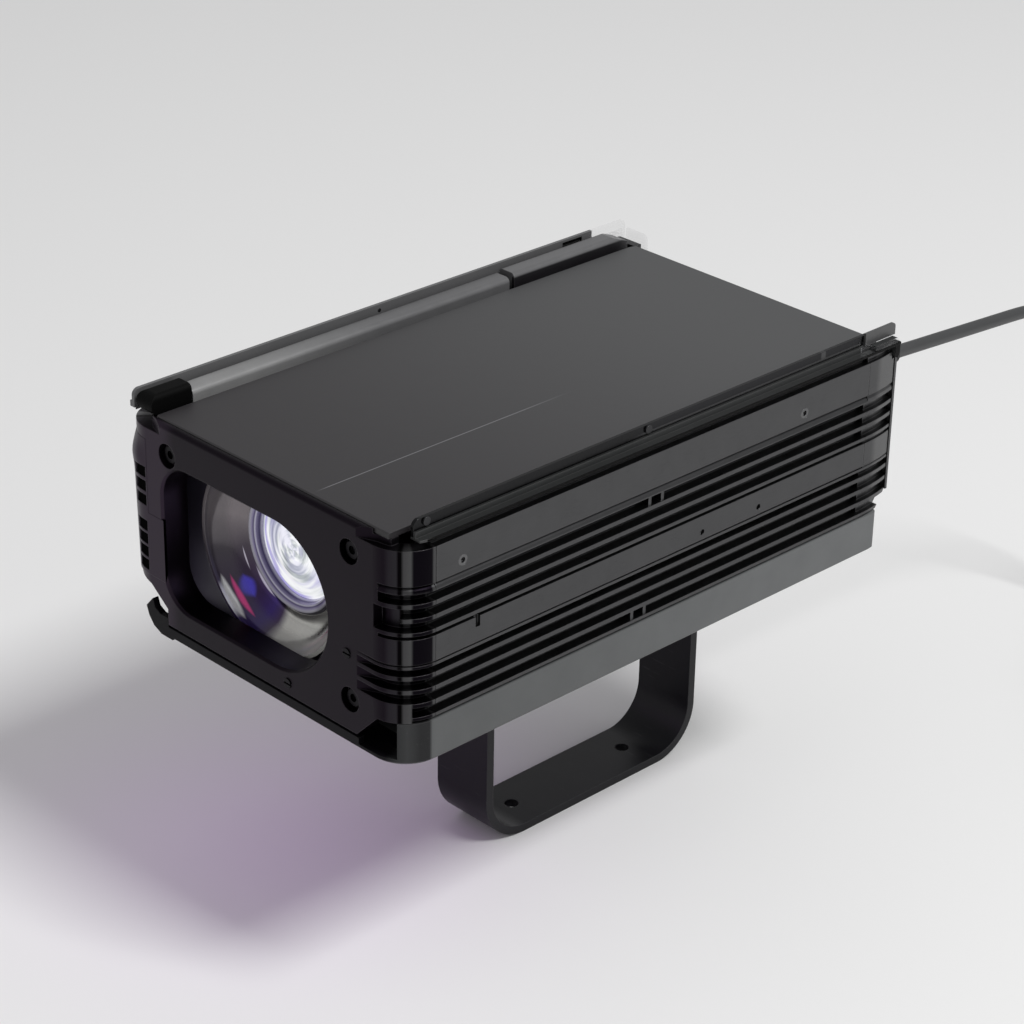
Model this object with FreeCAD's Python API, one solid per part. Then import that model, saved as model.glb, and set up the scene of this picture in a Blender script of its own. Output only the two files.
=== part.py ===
import FreeCAD, Part
import math
import os

# Laser show projector with finned sides, a hinged top lid and a bent flat-bar yoke.
# +Z is up, the lens looks along -Y, and the origin is under the middle of the yoke's foot.

# Whole body
BODY_W = 174.0
BODY_L = 290.4
BODY_H = 100.0
CORNER_R = 17.0
REAR_CAST_L = 19.4
REAR_CURVE_R = 80.0
REAR_EDGE = 0.4
OVERRUN = 2.0
RUN_FIT = 0.05
SNUG_FIT = 0.02
FACE_FIT = 0.2

# Yoke, its hanger, pivots and lock knobs
YOKE_H = 120.0
YOKE_W = 32.0
YOKE_T = 4.0
YOKE_L = 134.0
YOKE_BEND_R = 24.0
YOKE_SETBACK = 35.5
FOOT_HOLE_SPACING = 72.0
FOOT_HOLE_R = 3.3
PIVOT_DROP = 22.0
PIVOT_R = 4.0
WASHER_T = 1.2
WASHER_R = 12.0
LUG_T = 5.0
LUG_W = 30.0
HANGER_W = 48.0
HANGER_T = 3.0
BOLT_HEAD_R = 6.5
BOLT_HEAD_H = 5.0
KNOB_R = 13.0
KNOB_L = 15.0
KNOB_BORE_L = 11.0
KNOB_EDGE_R = 2.5
KNOB_LOBES = 6
KNOB_SCALLOP_R = 5.0
KNOB_SCALLOP_SHARE = 1.22

# Base pan
PAN_T = 2.0
PAN_WALL_T = 3.0
PAN_WALL_SHARE = 0.186
PAN_LIP_H = 5.2
PAN_NOTCH_INSET = 7.0
PAN_DIP_INSET = 26.0
PAN_DIP_H = 2.4
PAN_OPEN_INSET = 27.5
PAN_OPEN_BACK = 6.0
PAN_TONGUE = ((30.0, 0.0), (22.5, 0.0), (17.5, 2.2), (14.4, 6.0), (12.9, 10.1), (17.3, 15.0), (18.6, 11.2),
              (22.2, 9.4), (27.5, 9.4), (27.5, 5.2), (30.0, 5.2))
PAN_EDGE_R = 1.2
PAN_END_INSET = 6.4
PAN_REAR_R = 3.0
VENT_W = 3.0
VENT_L = 40.0
VENT_PITCH = 7.0
VENT_COUNT = 7
VENT_X = 46.0
VENT_SETBACK = 70.0

# Finned side walls
WALL_T = 7.0
WALL_TOP_DROP = 2.6
GROOVE_H = 4.3
GROOVE_D = 4.8
FIN_PITCH_SHARE = 0.0612
UPPER_GROOVE_SHARE = 0.733
UPPER_GROOVES = 3
LOWER_GROOVE_SHARE = 0.4187
LOWER_GROOVES = 4
FIRST_GROOVE_H = 3.1
THIN_GROOVE_H = 1.5
THIN_GROOVE_D = 2.4
UPPER_THIN_SHARE = 0.566
LOWER_THIN_SHARE = 0.1925
SCORE_SHARE = 0.444
SCORE_H = 0.8
SCORE_D = 0.8
LINE_GROOVE_SHARE = 0.786
LINE_GROOVE_H = 0.6
LINE_GROOVE_D = 1.6
BEAD_DROP = 2.4
BEAD_BROW_SHARE = 0.25
REAR_GROOVE_SHARE = 0.5
SHADOW_GAP_DROP = 5.8
SHADOW_GAP_D = 3.5
LEDGE_W = 8.0
LEDGE_T = 3.0
RIB_T = 1.6
RIB_SPACING = 7.4
RIB_SINK = 0.6
UPPER_RIB_SHARE = 0.479
LOWER_RIB_SHARE = 0.451
SLOT_W = 2.6
SLOT_H = 6.0
SLOT_D = 1.6
SLOT_SETBACK = 38.0
SLOT_HEIGHT_SHARE = 0.544
PIT_R = 1.3
PIT_SHARES = (0.577, 0.697)
PIT_HEIGHT_SHARE = 0.482
SIDE_SCREW_SHARE = 0.836
SIDE_HEAD_R = 2.3

# Front bezel
BEZEL_T = 7.0
BEZEL_Z = 6.5
BEZEL_TOP_DROP = 0.5
BEZEL_EDGE = 1.0
BEZEL_TOP_R = 2.2
BEZEL_CHEEK_SHARE = 0.69
BEZEL_CHEEK_RUN = 12.0
LEFT_CUT_INSET = 27.7
LEFT_CUT_STEP_Z = 14.0
LEFT_CUT_RUN = 10.7
LEFT_CUT_SHOULDER_Z = 22.0
LEFT_CUT_TOP_Z = 26.0
WINDOW_LEFT_INSET = 26.5
WINDOW_RIGHT_INSET = 44.5
WINDOW_Z0 = 16.5
WINDOW_TOP_DROP = 18.0
WINDOW_CORNER_R = 16.0
COLLAR_T = 2.0
COLLAR_DEPTH = 13.0
UPPER_WRAP_DEG = 82.0
LOWER_WRAP_DEG = 90.0
SHORT_WRAP_DEG = 34.0
POCKET_START_DEG = 50.0
RUNOUT_L = 9.6
SEAM_GAP = 0.3
BEZEL_SCREW_SHARE = 0.644
BEZEL_SCREW_DROP = 14.0
BEZEL_SCREW_LOW_Z = 20.6
BEZEL_BOSS_R = 7.0
COUNTERBORE_R = 5.4
COUNTERBORE_D = 4.0
TRIM_SCREW_R = 2.2
TRIM_SCREW_L = 5.0
TRIM_SCREW_PROUD = 0.4
TRIM_SIDE_SHARE = 0.625
TRIM_HEIGHT_SHARE = 0.408
TRIM_SCREW_LOW_X = 18.0
TRIM_SCREW_LOW_Z = 11.6

# Rails, guards and lid
RAIL_T = 1.0
RAIL_LEG_T = 1.2
RAIL_LEG_H = 2.6
GUARD_INSET = 6.6
GUARD_T = 1.6
GUARD_RIGHT_H = 7.1
GUARD_LEFT_H = 8.1
GUARD_END_R = 3.0
RIGHT_GUARD_FRONT = 10.0
LEFT_GUARD_FRONT = 3.0
RAIL_OVERHANG = 0.8
TAB_L = 20.0
TAB_H = 5.6
TAB_END_R = 2.0
HOOK_L = 17.0
HOOK_DROP = 7.4
HOOK_T = 3.0
HOOK_NOSE = 2.4
HOOK_FOOT = 3.0
HOOK_ROOM = 0.4
GUARD_SCREW_RISE = 3.6
GUARD_SCREW_SHARES = (0.056, 0.472)
GUARD_SCREW_HEAD_R = 1.8
GUARD_SCREW_HEAD_H = 0.8
GUARD_SCREW_R = 0.95
GUARD_SLOT_L = 12.0
GUARD_SLOT_H = 2.0
GUARD_SLOT_D = 1.1
GUARD_SLOT_INSET = 34.4
GUARD_SLOT_RISE = 4.2
LID_T = 2.5
LID_EDGE = 0.6
LID_FRONT = 3.2
LID_REAR_INSET = 1.4
LID_REAR_BEND = 6.8
LID_REAR_FALL = 5.0
LID_CORNER_R = 12.0
LID_JOINT_W = 3.2
LID_JOINT_D = 1.9
LID_GAP = 5.0
LIP_DEPTH = 2.6
HINGE_INSET = 13.0
HINGE_DROP = 0.1
HINGE_BAR_W = 10.0
HINGE_BAR_UP = 3.9
HINGE_BAR_DOWN = 4.2
HINGE_BAR_R = 2.4
HINGE_PIN_R = 1.5
HINGE_END_GAP = 0.5
HINGE_REAR_GAP = 3.0
HINGE_LEDGE_DROP = 6.2
FRONT_BLOCK_START = 3.0
FRONT_BLOCK_END = 24.0
FRONT_BLOCK_RISE = 2.8
REAR_BLOCK_L = 73.0
REAR_BLOCK_INSET = 9.4
REAR_BLOCK_RISE = 1.2
REAR_BLOCK_SLOPE_L = 9.0
REAR_BLOCK_SLOPE_H = 3.4
PIN_INSET = 4.0

# Frame plates inside
FRAME_START = 28.0
FRAME_T = 6.0
FRAME_TOP_DROP = 10.0
BULKHEAD_SHARE = 0.778
BULKHEAD_CUT_W = 24.0
BULKHEAD_CUT_H = 40.0
BULKHEAD_CUTS = 4
BULKHEAD_CUT_PITCH = 34.0
BULKHEAD_CUT_Z = 28.0

# Lens group
LENS_OFFSET_SHARE = 0.10345
LENS_HEIGHT_SHARE = 0.525
BOWL_SHARE = 0.42
BOWL_DEPTH = 15.6
BOWL_WALL = 1.6
THROAT_SHARE = 0.284
THROAT_DEPTH = 26.6
BARREL_SHARE = 0.306
BARREL_END = 42.0
BOWL_BULGE = 2.6
RING_SHARE = 0.226
RING_T = 3.0
RING_PROUD = 1.4
LENS_CENTRE_T = 6.0
LENS_EDGE_T = 2.6
REAR_SEAT_SHARE = 0.2

# Optical plate, lasers and combining mirrors
PLATE_DROP = 34.5
PLATE_T = 4.0
PLATE_SIDE_GAP = 4.0
PLATE_RIGHT = 56.0
PLATE_START = 44.0
PLATE_END_SHARE = 0.627
PLATE_LEG_R = 4.0
PLATE_LEG_INSET = 8.0
LASER_W = 20.0
LASER_H = 34.0
LASER_L_SHARE = 0.21
LASER_FIN_GAP = 2.0
LASER_FIN_D = 3.0
LASER_FINS = 5
LASER_NOSE_R = 5.0
LASER_NOSE_L = 3.0
LASER_AWAY = 26.0
GREEN_SHARE = 0.324
BLUE_SHARE = 0.413
RED_SHARE = 0.475
MIRROR_W = 16.0
MIRROR_T = 2.0
MIRROR_H = 18.0
MIRROR_POST_R = 4.0

# Effect wheel, its bracket, motor and pinion
GEAR_MODULE = 1.0
WHEEL_TEETH = 50
PINION_TEETH = 10
WHEEL_OFFSET = 16.0
WHEEL_SETBACK = 48.0
WHEEL_T = 3.0
WHEEL_HUB_R = 5.0
WHEEL_WEB_SHARE = 0.5
AXLE_R = 2.0
AXLE_HEAD_R = 3.2
AXLE_HEAD_T = 1.2
PINION_T = 4.0
BRACKET_SETBACK = 53.0
BRACKET_T = 3.0
BRACKET_RISE = 11.5
BRACKET_LEFT_GAP = 7.0
BRACKET_RIGHT_GAP = 17.0
MOTOR_R = 9.0
MOTOR_L = 20.0
MOTOR_SHAFT_R = 1.5
TOOTH_TIP_SHARE = 0.20
TOOTH_ROOT_SHARE = 0.52
ADDENDUM_SHARE = 0.8
DEDENDUM_SHARE = 1.2

# Beam shutter
SHUTTER_SETBACK = 70.0
SHUTTER_OFFSET = 24.0
SHUTTER_T = 1.2
SHUTTER_ARM_W = 6.0
SHUTTER_PADDLE_R = 6.0
SHUTTER_SHAFT_R = 1.5
SHUTTER_HUB_R = 4.0
SOLENOID_W = 16.0
SOLENOID_L = 14.0
SOLENOID_GAP = 0.6

# Power supply and control board
SUPPLY_SIDE_GAP = 12.0
SUPPLY_L_SHARE = 0.117
SUPPLY_H = 44.0
SUPPLY_SHARE = 0.647
SUPPLY_VENT_W = 2.4
SUPPLY_VENT_H = 24.0
SUPPLY_VENTS = 14
BOARD_LEFT = -8.0
BOARD_SIDE_GAP = 4.0
BOARD_T = 1.6
BOARD_SHARE = 0.868
CHIP_H = 4.0
CHIP_W = 12.0
CHIP_PITCH = 22.0
CHIP_COUNT = 3

# Rear panel and what it carries
PANEL_T = 4.0
PANEL_SCREW_INSET = 5.1
REAR_BEVEL = 8.6
PANEL_SCREW_LOW_SHARE = 0.49
PANEL_SCREW_TOP_SHARE = 0.87
FAN_OFFSET_SHARE = 0.48276
FAN_HEIGHT_SHARE = 0.56
FAN_SHARE = 0.6
FAN_T = 15.0
FAN_BORE_SHARE = 0.28
FAN_HUB_R = 11.0
FAN_ROTOR_SHARE = 0.266
FAN_BLADES = 7
FAN_BLADE_T = 1.2
FAN_BLADE_DEG = 32.0
FAN_STRUT_W = 3.0
FAN_STRUT_T = 2.0
FAN_STRUTS = 3
FAN_SHAFT_R = 1.5
FAN_HOLE_SHARE = 0.5
FAN_CORNER_R = 4.0
FAN_GAP = 0.6
GRILLE_WIRE_R = 0.9
GRILLE_RINGS = 4
GRILLE_SPOKES = 4
SWITCH_OFFSET_SHARE = 0.71264
SWITCH_HEIGHT_SHARE = 0.44
SWITCH_W = 15.0
SWITCH_H = 21.0
SWITCH_RIM = 1.6
SWITCH_PROUD = 1.6
SWITCH_DEPTH = 15.0
ROCKER_FIT = 0.4
ROCKER_END_FIT = 1.3
ROCKER_PIVOT_DEPTH = 6.5
ROCKER_PROUD = 2.2
ROCKER_DEG = 9.0
ROCKER_PIN_R = 1.2
KEY_OFFSET_SHARE = 0.3908
KEY_HEIGHT_SHARE = 0.66
KEY_NUT_R = 9.0
KEY_NUT_L = 4.0
KEY_BODY_R = 7.0
KEY_BODY_L = 16.0
KEY_BARREL_R = 5.0
KEY_BARREL_DEPTH = 10.0
KEY_BOW_W = 13.0
KEY_BOW_H = 15.0
KEY_BOW_T = 2.0
KEY_SHANK_L = 6.0
KEY_SHANK_W = 6.0
KEY_HOLE_R = 2.4
KEY_EYE_SHARE = 0.68
BUTTON_R = 2.6
BUTTON_PROUD = 1.6
BUTTON_FLANGE_R = 3.6
BUTTON_FLANGE_T = 1.0
BUTTON_STEM_R = 1.2
BUTTON_TRAVEL = 1.0
BUTTON_X = 4.0
BUTTON_PITCH = 7.5
BUTTON_COUNT = 4
BUTTON_COLUMNS = 2
BUTTON_HEIGHT_SHARE = 0.69
DISPLAY_W_SHARE = 0.345
DISPLAY_H = 13.0
DISPLAY_OFFSET_SHARE = 0.069
DISPLAY_HEIGHT_SHARE = 0.83
DISPLAY_T = 2.0
DISPLAY_SINK = 0.6
SOCKET_OFFSET_SHARE = 0.09195
SOCKET_PITCH_SHARE = 0.32184
SOCKET_HEIGHT_SHARE = 0.42
SOCKET_FLANGE = 22.0
SOCKET_FLANGE_T = 1.6
SOCKET_R = 11.0
SOCKET_BORE_R = 9.6
SOCKET_DEPTH = 18.0
SOCKET_FLOOR = 2.0

# Shared screws
FINE_R = 1.25
FINE_HEAD_R = 2.2
FINE_HEAD_H = 1.5
FAN_SCREW_L = 10.0
PANEL_SCREW_L = 28.0
M4_R = 2.0
M4_HEAD_R = 3.6
M4_HEAD_H = 2.2
M4_L = 12.0
DRIVE_R_SHARE = 0.5
DRIVE_DEPTH_SHARE = 0.55

# Mains lead: gland, free stretch, stored coil and plug
CORD_D = 6.0
CORD_OFFSET_SHARE = 0.68966
CORD_HEIGHT_SHARE = 0.755
GLAND_L = 30.0
GLAND_BASE_R = 8.0
GLAND_TAPER_R = 5.5
GLAND_BASE_L = 6.0
GLAND_TIP_R = 4.4
GLAND_NUT_R = 7.5
ARC_SHARE = 0.45
CORD_LANDING = 33.0
CORD_RUNS = ((0.0, 25.3), (0.0, 98.3), (0.0, 142.0), (0.5, 172.3), (2.0, 181.3), (4.0, 181.3), (11.0, 177.3))
CORD_FALL_SHARES = (0.9944, 0.968, 0.903, 0.742, 0.522, 0.307, 0.123)
COIL_ASIDE = 72.0
COIL_BEHIND = 128.3
COIL_MID_R = 33.0
COIL_TURNS = 5.25
COIL_PITCH = 6.9
COIL_RISE = 6.7
COIL_START_DEG = 90.0
COIL_STEPS_A_TURN = 4
COIL_CHECKS_A_TURN = 90
COIL_TAIL = 16.0
PLUG_W = 34.0
PLUG_L = 30.0
PLUG_NECK_L = 24.0
PLUG_NECK_R = 4.6
PLUG_NECK_BASE_R = 8.4
PLUG_CORNER_R = 6.0
PLUG_PIN_R = 2.4
PLUG_PIN_L = 19.0
PLUG_PIN_SPACING = 19.0

# Places worked out from the sizes above
V = FreeCAD.Vector
X_AXIS, Y_AXIS, Z_AXIS = V(1, 0, 0), V(0, 1, 0), V(0, 0, 1)
FULL_TURN = 360.0
HALF_W = BODY_W / 2
INNER_X = HALF_W - WALL_T
FRONT_Y = -YOKE_SETBACK - BODY_L / 2
REAR_Y = FRONT_Y + BODY_L
PANEL_Y = REAR_Y - PANEL_T
SEAM_Y = FRONT_Y + CORNER_R
REAR_SEAM_Y = REAR_Y - REAR_CAST_L
PAN_END_Y = REAR_Y - PAN_END_INSET
PAN_Z = YOKE_H
FLOOR_Z = PAN_Z + PAN_T
LID_TOP = PAN_Z + BODY_H
WALL_TOP = LID_TOP - WALL_TOP_DROP
RAIL_TOP = WALL_TOP + RAIL_T
PIVOT_Z = PAN_Z - PIVOT_DROP
CORD_R = CORD_D / 2

# Heights above the pan's underside
PAN_WALL_H = BODY_H * PAN_WALL_SHARE
FIN_PITCH = BODY_H * FIN_PITCH_SHARE
UPPER_GROOVE_Z = BODY_H * UPPER_GROOVE_SHARE
LOWER_GROOVE_Z = BODY_H * LOWER_GROOVE_SHARE
UPPER_THIN_Z = BODY_H * UPPER_THIN_SHARE
LOWER_THIN_Z = BODY_H * LOWER_THIN_SHARE
SCORE_Z = BODY_H * SCORE_SHARE
LINE_GROOVE_Z = BODY_H * LINE_GROOVE_SHARE
SHADOW_GAP_Z = BODY_H - SHADOW_GAP_DROP
SLOT_Z = BODY_H * SLOT_HEIGHT_SHARE
PIT_Z = BODY_H * PIT_HEIGHT_SHARE
SIDE_SCREW_Z = BODY_H * SIDE_SCREW_SHARE
WINDOW_Z1 = BODY_H - WINDOW_TOP_DROP
BEZEL_SCREW_TOP_Z = BODY_H - BEZEL_SCREW_DROP
TRIM_SCREW_SIDE_Z = BODY_H * TRIM_HEIGHT_SHARE
GUARD_SCREW_Z = BODY_H + GUARD_SCREW_RISE
GUARD_SLOT_Z = BODY_H + GUARD_SLOT_RISE
HINGE_Z = BODY_H - HINGE_DROP
HINGE_LEDGE_Z = BODY_H - HINGE_LEDGE_DROP
FRAME_TOP_Z = BODY_H - FRAME_TOP_DROP
LENS_Z = BODY_H * LENS_HEIGHT_SHARE
PLATE_Z = LENS_Z - PLATE_DROP
BRACKET_TOP_Z = LENS_Z + BRACKET_RISE
PANEL_SCREW_LOW_Z = BODY_H * PANEL_SCREW_LOW_SHARE
PANEL_SCREW_TOP_Z = BODY_H * PANEL_SCREW_TOP_SHARE
FAN_Z = BODY_H * FAN_HEIGHT_SHARE
SWITCH_Z = BODY_H * SWITCH_HEIGHT_SHARE
KEY_Z = BODY_H * KEY_HEIGHT_SHARE
BUTTON_Z = BODY_H * BUTTON_HEIGHT_SHARE
DISPLAY_Z = BODY_H * DISPLAY_HEIGHT_SHARE
SOCKET_Z = BODY_H * SOCKET_HEIGHT_SHARE

# Places across the body
PAN_NOTCH_X = HALF_W - PAN_NOTCH_INSET
BEZEL_CHEEK_X = HALF_W * BEZEL_CHEEK_SHARE
WINDOW_LEFT = WINDOW_LEFT_INSET - HALF_W
WINDOW_RIGHT = HALF_W - WINDOW_RIGHT_INSET
BEZEL_SCREW_X = HALF_W * BEZEL_SCREW_SHARE
TRIM_SCREW_SIDE_X = HALF_W * TRIM_SIDE_SHARE
GUARD_X = HALF_W - GUARD_INSET
HINGE_X = HALF_W - HINGE_INSET
HINGE_EDGE_X = HINGE_BAR_W / 2 - HINGE_X
LID_RIGHT_X = GUARD_X - LID_GAP
LENS_X = -HALF_W * LENS_OFFSET_SHARE
PLATE_LEFT = PLATE_SIDE_GAP - INNER_X
SUPPLY_W = (INNER_X - SUPPLY_SIDE_GAP) * 2
BOARD_RIGHT = INNER_X - BOARD_SIDE_GAP
PANEL_SCREW_X = HALF_W - PANEL_SCREW_INSET
FAN_X = -HALF_W * FAN_OFFSET_SHARE
SWITCH_X = HALF_W * SWITCH_OFFSET_SHARE
KEY_X = HALF_W * KEY_OFFSET_SHARE
DISPLAY_W = HALF_W * DISPLAY_W_SHARE
DISPLAY_X = HALF_W * DISPLAY_OFFSET_SHARE
SOCKET_X = HALF_W * SOCKET_OFFSET_SHARE
SOCKET_PITCH = HALF_W * SOCKET_PITCH_SHARE
LASER_L = BODY_W * LASER_L_SHARE

# Distances behind the front face
PIT_SETBACKS = [BODY_L * share for share in PIT_SHARES]
UPPER_RIB_SETBACK = BODY_L * UPPER_RIB_SHARE
LOWER_RIB_SETBACK = BODY_L * LOWER_RIB_SHARE
GUARD_SCREW_SETBACKS = [BODY_L * share for share in GUARD_SCREW_SHARES]
GUARD_SLOT_SETBACK = BODY_L - GUARD_SLOT_INSET
REAR_BLOCK_END = BODY_L - REAR_BLOCK_INSET
REAR_BLOCK_START = REAR_BLOCK_END - REAR_BLOCK_L
BULKHEAD_START = BODY_L * BULKHEAD_SHARE
PLATE_END = BODY_L * PLATE_END_SHARE
GREEN_SETBACK = BODY_L * GREEN_SHARE
BLUE_SETBACK = BODY_L * BLUE_SHARE
RED_SETBACK = BODY_L * RED_SHARE
SUPPLY_START = BODY_L * SUPPLY_SHARE
SUPPLY_L = BODY_L * SUPPLY_L_SHARE
BOARD_START = BODY_L * BOARD_SHARE

# Round sizes that follow the body's height
BOWL_R = BODY_H * BOWL_SHARE
THROAT_R = BODY_H * THROAT_SHARE
BARREL_R = BODY_H * BARREL_SHARE
RING_R = BODY_H * RING_SHARE
REAR_SEAT_R = BODY_H * REAR_SEAT_SHARE
FAN_W = BODY_H * FAN_SHARE
FAN_BORE_R = BODY_H * FAN_BORE_SHARE
FAN_ROTOR_R = BODY_H * FAN_ROTOR_SHARE
FAN_HOLE_SPACING = BODY_H * FAN_HOLE_SHARE

# The lead's way out and its coil
CORD_X = HALF_W * CORD_OFFSET_SHARE
CORD_Z = PAN_Z + BODY_H * CORD_HEIGHT_SHARE
CORD_Y = REAR_Y + GLAND_L
COIL_X = CORD_X + COIL_ASIDE
COIL_Y = CORD_Y + COIL_BEHIND


def setback(distance):
    """The Y place that lies this far behind the front face."""
    return FRONT_Y + distance


def above_pan(height):
    """The Z place that lies this far above the pan's underside."""
    return PAN_Z + height


def box(x0, x1, y0, y1, z0, z1):
    """An upright block between two corners."""
    return Part.makeBox(x1 - x0, y1 - y0, z1 - z0, V(x0, y0, z0))


def rod(radius, length, x, y, z, axis):
    """A round bar that starts at a point and runs along an axis."""
    return Part.makeCylinder(radius, length, V(x, y, z), axis)


def fuse_all(shapes):
    """One shape from several that touch or overlap."""
    first, rest = shapes[0], shapes[1:]
    return first.multiFuse(rest).removeSplitter() if rest else first


def cut_all(shape, tools):
    """A shape with several tools cut away."""
    return shape.cut(tools) if tools else shape


def prism(points, along):
    """A straight-sided solid on an outline of points, carried along a vector."""
    return Part.Face(Part.makePolygon(points + points[:1])).extrude(along)


def mirrored(shape):
    """The same shape on the other side of the middle plane."""
    return shape.mirror(V(0, 0, 0), X_AXIS)


def disc_rod_y(radius, y0, y1, x, z):
    """A round bar along Y between two places."""
    return rod(radius, y1 - y0, x, y0, z, Y_AXIS)


def front_outline(inset, back_y, z):
    """The body's plan with rounded front corners, drawn in by an inset."""
    x, y = HALF_W - inset, FRONT_Y + inset
    cx, cy = HALF_W - CORNER_R, FRONT_Y + CORNER_R
    r = CORNER_R - inset
    nick = r * math.sin(math.radians(FULL_TURN / 8))
    edges = [
        Part.LineSegment(V(-x, back_y, z), V(-x, cy, z)),
        Part.Arc(V(-x, cy, z), V(-cx - nick, cy - nick, z), V(-cx, y, z)),
        Part.LineSegment(V(-cx, y, z), V(cx, y, z)),
        Part.Arc(V(cx, y, z), V(cx + nick, cy - nick, z), V(x, cy, z)),
        Part.LineSegment(V(x, cy, z), V(x, back_y, z)),
        Part.LineSegment(V(x, back_y, z), V(-x, back_y, z)),
    ]
    return Part.Wire([edge.toShape() for edge in edges])


def front_slab(inset, back_y, z0, z1):
    """A slab on the body's rounded plan."""
    return Part.Face(front_outline(inset, back_y, z0)).extrude(V(0, 0, z1 - z0))


def window_wire(grow, y):
    """The window's outline: a square left end and a half-round right end."""
    left, right = WINDOW_LEFT - grow, WINDOW_RIGHT + grow
    z0, z1 = above_pan(WINDOW_Z0) - grow, above_pan(WINDOW_Z1) + grow
    r, big = WINDOW_CORNER_R + grow, (z1 - z0) / 2
    nick = r * (1 - math.sin(math.radians(FULL_TURN / 8)))
    zc, xc = (z0 + z1) / 2, right - big
    edges = [
        Part.LineSegment(V(left + r, y, z1), V(xc, y, z1)),
        Part.Arc(V(xc, y, z1), V(right, y, zc), V(xc, y, z0)),
        Part.LineSegment(V(xc, y, z0), V(left + r, y, z0)),
        Part.Arc(V(left + r, y, z0), V(left + nick, y, z0 + nick), V(left, y, z0 + r)),
        Part.LineSegment(V(left, y, z0 + r), V(left, y, z1 - r)),
        Part.Arc(V(left, y, z1 - r), V(left + nick, y, z1 - nick), V(left + r, y, z1)),
    ]
    return Part.Wire([edge.toShape() for edge in edges])


def window_plug(grow, y0, y1):
    """A solid that fills the window's outline between two depths."""
    return Part.Face(window_wire(grow, y0)).extrude(V(0, y1 - y0, 0))


def groove(z, height, depth):
    """A square groove's section as offsets from the wall's face and heights above the pan."""
    low, high = z - height / 2, z + height / 2
    return [(OVERRUN, low), (-depth, low), (-depth, high), (OVERRUN, high)]


def bead():
    """The section of the line groove and the rounded bead under it."""
    top, low = LINE_GROOVE_Z + LINE_GROOVE_H / 2, LINE_GROOVE_Z - LINE_GROOVE_H / 2
    foot, depth = low - BEAD_DROP, LINE_GROOVE_D
    brow = (-depth * BEAD_BROW_SHARE, (foot + low) / 2)
    return [(OVERRUN, foot), (0, foot), brow, (-depth, low), (-depth, top), (OVERRUN, top)]


def upper_grooves():
    """The sections of the upper group: the deep grooves, a thin one and the line with its bead."""
    rows = [groove(UPPER_GROOVE_Z - i * FIN_PITCH, GROOVE_H, GROOVE_D) for i in range(UPPER_GROOVES)]
    return rows + [groove(UPPER_THIN_Z, THIN_GROOVE_H, THIN_GROOVE_D), bead()]


def long_grooves():
    """The lower group's sections that run right round the corner, a scored line above them."""
    first_z = LOWER_GROOVE_Z - (GROOVE_H - FIRST_GROOVE_H) / 2
    rows = [groove(SCORE_Z, SCORE_H, SCORE_D), groove(first_z, FIRST_GROOVE_H, GROOVE_D)]
    later = range(1, LOWER_GROOVES - 1)
    return rows + [groove(LOWER_GROOVE_Z - i * FIN_PITCH, GROOVE_H, GROOVE_D) for i in later]


def last_groove_z():
    """The height of the lowest deep groove."""
    return LOWER_GROOVE_Z - (LOWER_GROOVES - 1) * FIN_PITCH


def short_grooves():
    """The lower group's sections that stop on the corner: the last deep groove and the thin one."""
    deep = groove(last_groove_z(), GROOVE_H, GROOVE_D)
    return [deep, groove(LOWER_THIN_Z, THIN_GROOVE_H, THIN_GROOVE_D)]


def lower_grooves():
    """The sections of the lower group."""
    return long_grooves() + short_grooves()


def shadow_gap():
    """The section of the step under the rail."""
    low, high, depth = SHADOW_GAP_Z, BODY_H, SHADOW_GAP_D
    return [(OVERRUN, low), (-depth, low), (-depth, high), (OVERRUN, high)]


def straight_groove(section, y0, y1):
    """A cutter along the right wall."""
    points = [V(HALF_W + offset, y0, above_pan(z)) for offset, z in section]
    return prism(points, V(0, y1 - y0, 0))


def turned_groove(section, cx, cy, radius, axis, degrees):
    """A cutter that starts square to the right wall and turns about an upright axis."""
    points = [V(cx + radius + offset, cy, above_pan(z)) for offset, z in section]
    face = Part.Face(Part.makePolygon(points + points[:1]))
    return face.revolve(V(cx, cy, 0), axis, degrees)


def corner_groove(section, degrees):
    """A cutter round the right front corner."""
    cx, cy = HALF_W - CORNER_R, SEAM_Y
    return turned_groove(section, cx, cy, CORNER_R, V(0, 0, -1), degrees)


def rear_groove(section):
    """A cutter along the rear casting's curved right cheek."""
    degrees = math.degrees(math.asin((REAR_Y + OVERRUN - REAR_SEAM_Y) / REAR_CURVE_R))
    shallow = [(offset if offset > 0 else offset * REAR_GROOVE_SHARE, z) for offset, z in section]
    return turned_groove(shallow, HALF_W - REAR_CURVE_R, REAR_SEAM_Y, REAR_CURVE_R, Z_AXIS, degrees)


def groove_runout(section):
    """A wedge that lets a groove run out across the front."""
    z0, z1 = above_pan(section[0][1]), above_pan(section[2][1])
    x, depth = HALF_W - CORNER_R, -section[1][0]
    return prism([
        V(x, FRONT_Y - OVERRUN, z0),
        V(x, FRONT_Y + depth, z0),
        V(x - RUNOUT_L, FRONT_Y, z0),
        V(x - RUNOUT_L, FRONT_Y - OVERRUN, z0),
    ], V(0, 0, z1 - z0))


def corner_pocket():
    """A cutter that joins the upper group's later grooves on the corner's front part."""
    high = UPPER_GROOVE_Z - FIN_PITCH + GROOVE_H / 2
    low = UPPER_GROOVE_Z - (UPPER_GROOVES - 1) * FIN_PITCH - GROOVE_H / 2
    section = groove((low + high) / 2, high - low, GROOVE_D)
    pocket = corner_groove(section, LOWER_WRAP_DEG - POCKET_START_DEG)
    pocket.rotate(V(HALF_W - CORNER_R, SEAM_Y, 0), Z_AXIS, -POCKET_START_DEG)
    return pocket


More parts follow.
